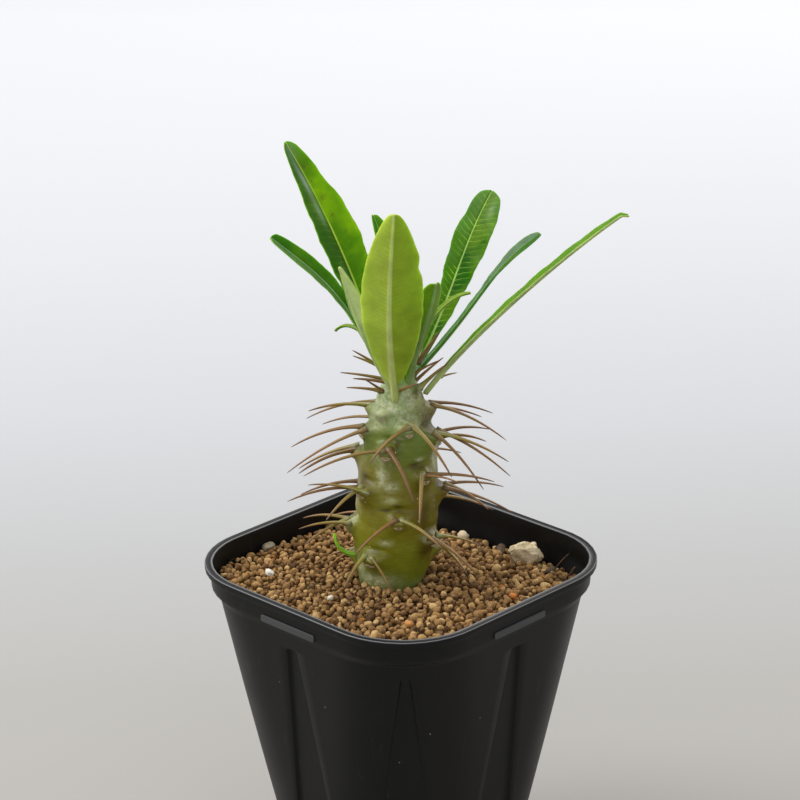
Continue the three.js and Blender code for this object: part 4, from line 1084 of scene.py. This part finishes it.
def leafRow(leaf, route, length, across, share, number):
    # one station across a blade: its upper and lower points, its middle, the way to the side and its values
    shape = leafShape
    centre, way = bezier(route, share)
    centre = centre - upward * leaf.get("curl", 0) * smoothStep(share, shape["curlFrom"], 1)
    side = outwardAt(leaf["tip"][0] + 90)
    side = side - way * (side @ way)
    side = rotateAbout(side / np.linalg.norm(side), way, leaf["roll"])
    centre = centre + side * leaf.get("bow", 0) * math.sin(math.pi * share)
    face = np.cross(way, side)
    half = halfWidth(leaf, share)
    along = share * length
    middling = math.sin(math.pi * share)
    ragged = [noise.noise(Vector((along / 3.2, 9.1 * hand, 5.3 * number)))
              + 0.5 * noise.noise(Vector((along / 1.1, 4.7 * hand, 2.9 * number))) for hand in (-1, 1)]
    lean = leaf.get("lean", 0)
    reaches = [(half + shape["ragged"] * middling * ragged[k] * min(leaf["width"] / 8, 1.5))
               * (1 + (-lean, lean)[k]) for k in (0, 1)]
    for hand, place, depth, reach in leaf.get("dents", ()):
        reaches[(hand + 1) // 2] -= depth * math.exp(-((share - place) / reach) ** 2)
    offset = across * np.where(across < 0, reaches[0], reaches[1])
    outer = np.abs(across)
    fold = math.radians(leaf["fold"]) * smoothStep(share, 0, 2 * shape["petioleShare"])
    phase = np.where(offset < 0, 0.0, math.pi / 2)
    waves = 2 * math.pi * length / shape["waveLength"] * share
    ripple = leaf["wave"] * middling * outer ** 2 * np.sin(waves + phase)
    ripple += 0.35 * leaf["wave"] * middling * outer ** 4 * np.sin(2.7 * waves + 2 * phase + number)
    slender = min(1.0, leaf["width"] / 8)
    ribHalf = np.interp(share, (0, 1), shape["ribHalf"]) * slender
    near = np.abs(offset) / ribHalf
    groove = 0.22 * slender * np.exp(-(near / 0.8) ** 2) * smoothStep(share, 0.05, 0.2)
    top = centre + side * (offset * math.cos(fold))[:, None]
    top = top + face * (np.abs(offset) * math.sin(fold) + ripple)[:, None]
    thick = shape["edgeThick"] + (shape["thick"] - shape["edgeThick"]) * (1 - outer ** 4)
    ridge = np.interp(share, (0, 1), shape["ribHeight"]) * slender
    under = thick + ridge * np.exp(-(near / 0.85) ** 2)
    values = {"phase": along - shape["veinSlant"] * np.abs(offset), "ribNear": near, "rim": outer,
              "half": smoothStep(offset, -0.25, 0.25), "offset": offset}
    upper, lower, middle = (top - face * deep[:, None] for deep in (groove, under, thick / 2))
    return upper, lower, middle, side, values


def spotShare(share, offset, place, aside, reach, wide):  # how deep in an oval spot each point lies
    return np.exp(-((share - place) / reach) ** 2 - ((offset - aside) / wide) ** 2)


def makeLeaf(name, leaf, number):
    shape = leafShape
    route = ribRoute(leaf)
    samples = [bezier(route, t)[0] for t in np.linspace(0, 1, 60)]
    length = sum(np.linalg.norm(b - a) for a, b in zip(samples, samples[1:]))
    stations = max(24, int(length / shape["step"]))
    spread = np.linspace(-1, 1, shape["columns"] + 1)
    across = spread * (0.62 + 0.38 * spread ** 2)
    look = looks[name]
    spacing = look.get("spacing", commonLook["spacing"])
    points, attributes = [], {"upper": []}
    for k in range(stations + 1):
        share = 1 - (1 - k / stations) ** shape["crowding"]
        upper, lower, middle, side, values = leafRow(leaf, route, length, across, share, number)
        # once round the section: the upper skin, one edge, the lower skin, the other edge
        rim = side * 0.12
        points.append(np.concatenate([upper, [middle[-1] + rim], lower[::-1], [middle[0] - rim]]))
        values["phase"] = values["phase"] / spacing
        values["gloss"], values["blemish"] = 0 * across, 0 * across
        # sheen spots: a sky reflection painted into the colour
        for place, offset, reach, wide, amount in look.get("paintedSheenSpots", ()):
            values["gloss"] += amount * spotShare(share, values["offset"], place, offset, reach, wide)
        for place, offset, reach, wide in look.get("blemishes", ()):
            values["blemish"] += spotShare(share, values["offset"], place, offset, reach, wide)
        del values["offset"]
        for key, row in values.items():
            attributes.setdefault(key, []).append(np.concatenate([row, [row[-1]], row[::-1], [row[0]]]))
        flat = np.ones(len(across))
        attributes["upper"].append(np.concatenate([flat, [0.5], 0 * flat, [0.5]]))
    faces = [tuple(reversed(face)) for face in loftFaces(stations + 1, 2 * len(across) + 2)]
    newPiece(name + "_blade", np.concatenate(points), faces, leafMaterial(name), (name,),
             {key: np.concatenate(rows) for key, rows in attributes.items()})


def makeLeaves():
    for number, (name, leaf) in enumerate(leaves.items()):
        makeLeaf(name, leaf, number)
    print("leaves", len(leaves))


# pumice stone

stone = {
    "place": (13.8, 36.2), "sunk": 1.1, "half": (5.0, 3.2, 3.7), "turn": 44.0,
    "pale": "#E0D0AE", "mid": "#CDBB95", "deep": "#A08E6C", "pore": 0.7,
}


def pumiceMaterial():
    # pumice: dry volcanic glass foam, chalky, pitted with pores
    material, tree, place = newMaterial("pumice, rough")
    cloud = addNode(tree, "TexNoise", {"Scale": 260.0, "Detail": 6.0, "Roughness": 0.65}, {"Vector": place})
    tone = addNode(tree, "ValToRGB",
                   {"stops": [(0.3, stone["deep"]), (0.48, stone["mid"]), (0.66, stone["pale"])]},
                   {"Fac": cloud})
    pores = addNode(tree, "TexVoronoi", {"Scale": 1000 / stone["pore"]}, {"Vector": place})
    pit = addNode(tree, "MapRange", {"From Min": 0.1, "From Max": 0.35}, {"Value": pores})
    shade = addNode(tree, "MapRange", {"To Min": 0.72, "To Max": 1.05}, {"Value": pit})
    color = addNode(tree, "MixRGB", {"blend_type": "MULTIPLY", "Fac": 1.0},
                    {"Color1": tone, "Color2": shade})
    bump = addNode(tree, "Bump", {"Strength": 0.6, "Distance": 0.0003}, {"Height": pit})
    rough = addNode(tree, "Bump", {"Strength": 0.5, "Distance": 0.0004}, {"Height": cloud, "Normal": bump})
    shader = addNode(tree, "BsdfPrincipled", {"Roughness": 0.92}, {"Base Color": color, "Normal": rough})
    return finishMaterial(material, shader)


def rockForm(level, flatCount, rng, detail):
    points, faces = icosphere(level)
    points = cutFlats(points, flatCount, (0.66, 0.84), rng)
    lumps = [1 + detail * noise.noise(Vector(p) * 2.1) + 0.5 * detail * noise.noise(Vector(p) * 6.0)
             for p in points]
    return points * np.array(lumps)[:, None], faces


def makeStone():
    rng = np.random.default_rng(12)
    points, faces = rockForm(5, 9, rng, 0.12)
    points = points * stone["half"]
    turn = np.array(Matrix.Rotation(math.radians(stone["turn"]), 3, "Z"))
    x, y = stone["place"]
    centre = np.array([x, y, soilHeight(x, y) + stone["half"][2] - stone["sunk"]])
    newPiece("pumice_rock", points @ turn.T + centre, faces, pumiceMaterial(), ("pumice_stone",))


# small pale and dark bits and husk fibres among the granules

huskColor = "#6B5138"
bits = [
    {"at": (-26.8, -24.3), "half": (1.5, 1.2, 1.1), "color": "#E4E0D6"},
    {"at": (-1.8, -25.6), "half": (1.0, 0.8, 0.8), "color": "#E2D6C0"},
    {"at": (-41.2, -11.0), "half": (2.4, 1.7, 1.2), "color": "#8E826C"},
    {"at": (-10.8, 37.0), "half": (2.0, 1.6, 1.7), "color": "#CDB999"},
    {"at": (33.7, 8.5), "half": (1.3, 1.1, 1.0), "color": "#C97A35"},
    {"at": (26.2, -24.4), "half": (1.4, 1.2, 1.0), "color": "#C98A4A"},
    {"at": (2.5, 38.5), "half": (3.2, 1.4, 1.0), "color": "#5B4632"},
    {"at": (25.0, 34.0), "half": (2.0, 1.5, 1.2), "color": "#4A3826"},
]
fibres = [
    # where each starts on the soil, the way to its end, and its radius at the start
    {"at": (24.5, 36.0), "to": (3.0, 2.5, 5.0), "wide": 0.28},
    {"at": (31.0, 35.0), "to": (1.5, 0.5, 3.2), "wide": 0.5},
    {"at": (-42.0, -25.0), "to": (4.0, 1.0, 1.2), "wide": 0.35},
    {"at": (-40.0, -22.0), "to": (3.2, -2.0, 1.6), "wide": 0.3},
    {"at": (14.0, 30.5), "to": (-5.0, 3.0, 1.0), "wide": 0.3},
]


def bitMaterial(code):
    # small dry mineral grain or husk, matt
    material, tree, place = newMaterial("dry mineral grain " + code[1:])
    cloud = addNode(tree, "TexNoise", {"Scale": 1500.0, "Detail": 4.0}, {"Vector": place})
    shade = addNode(tree, "MapRange", {"From Min": 0.3, "From Max": 0.7, "To Min": 0.7, "To Max": 1.1},
                    {"Value": cloud})
    color = addNode(tree, "MixRGB", {"blend_type": "MULTIPLY", "Fac": 1.0, "Color1": hexColor(code)},
                    {"Color2": shade})
    bump = addNode(tree, "Bump", {"Strength": 0.6, "Distance": 0.0002}, {"Height": cloud})
    shader = addNode(tree, "BsdfPrincipled", {"Roughness": 0.85}, {"Base Color": color, "Normal": bump})
    return finishMaterial(material, shader)


def makeBits():
    rng = np.random.default_rng(41)
    for n, bit in enumerate(bits):
        points, faces = rockForm(3, 6, rng, 0.1)
        x, y = bit["at"]
        turn = np.array(Matrix.Rotation(rng.uniform(0, 3), 3, "Z"))
        centre = np.array([x, y, soilHeight(x, y) + bit["half"][2] * 0.75])
        points = (points * bit["half"]) @ turn.T + centre
        newPiece(f"soil_bit_{n + 1}", points, faces, bitMaterial(bit["color"]))
    parts = []
    for fibre in fibres:
        x, y = fibre["at"]
        start = np.array([x, y, soilHeight(x, y) + 0.6])
        end = start + fibre["to"]
        shares = np.linspace(0, 1, 10)
        middle = (start + end) / 2 + np.array([0.8, -0.8, 1.2])
        rings = []
        for s in shares:
            spot = (1 - s) ** 2 * start + 2 * s * (1 - s) * middle + s * s * end
            radius = fibre["wide"] * (0.35 + 0.65 * (1 - s))
            rings.append([spot + radius * np.array([math.cos(t), math.sin(t), 0.4 * math.cos(t + 1)])
                          for t in np.linspace(0, 2 * math.pi, 8, endpoint=False)])
        parts.append((np.array(rings).reshape(-1, 3), loftFaces(len(rings), 8), {}))
    points, faces, _ = joinParts(parts)
    newPiece("husk_fibres", points, faces, bitMaterial(huskColor))


makeFill()
clay = clayMaterial()
for level in ("upper", "lower"):
    layGranules("granules_" + level, soil[level], clay)
print("soil laid")
makeStem()
makeScars()
makeSpines()
print("stem made")
makeLeaves()
makeStone()
makeBits()
print("stone and bits laid")
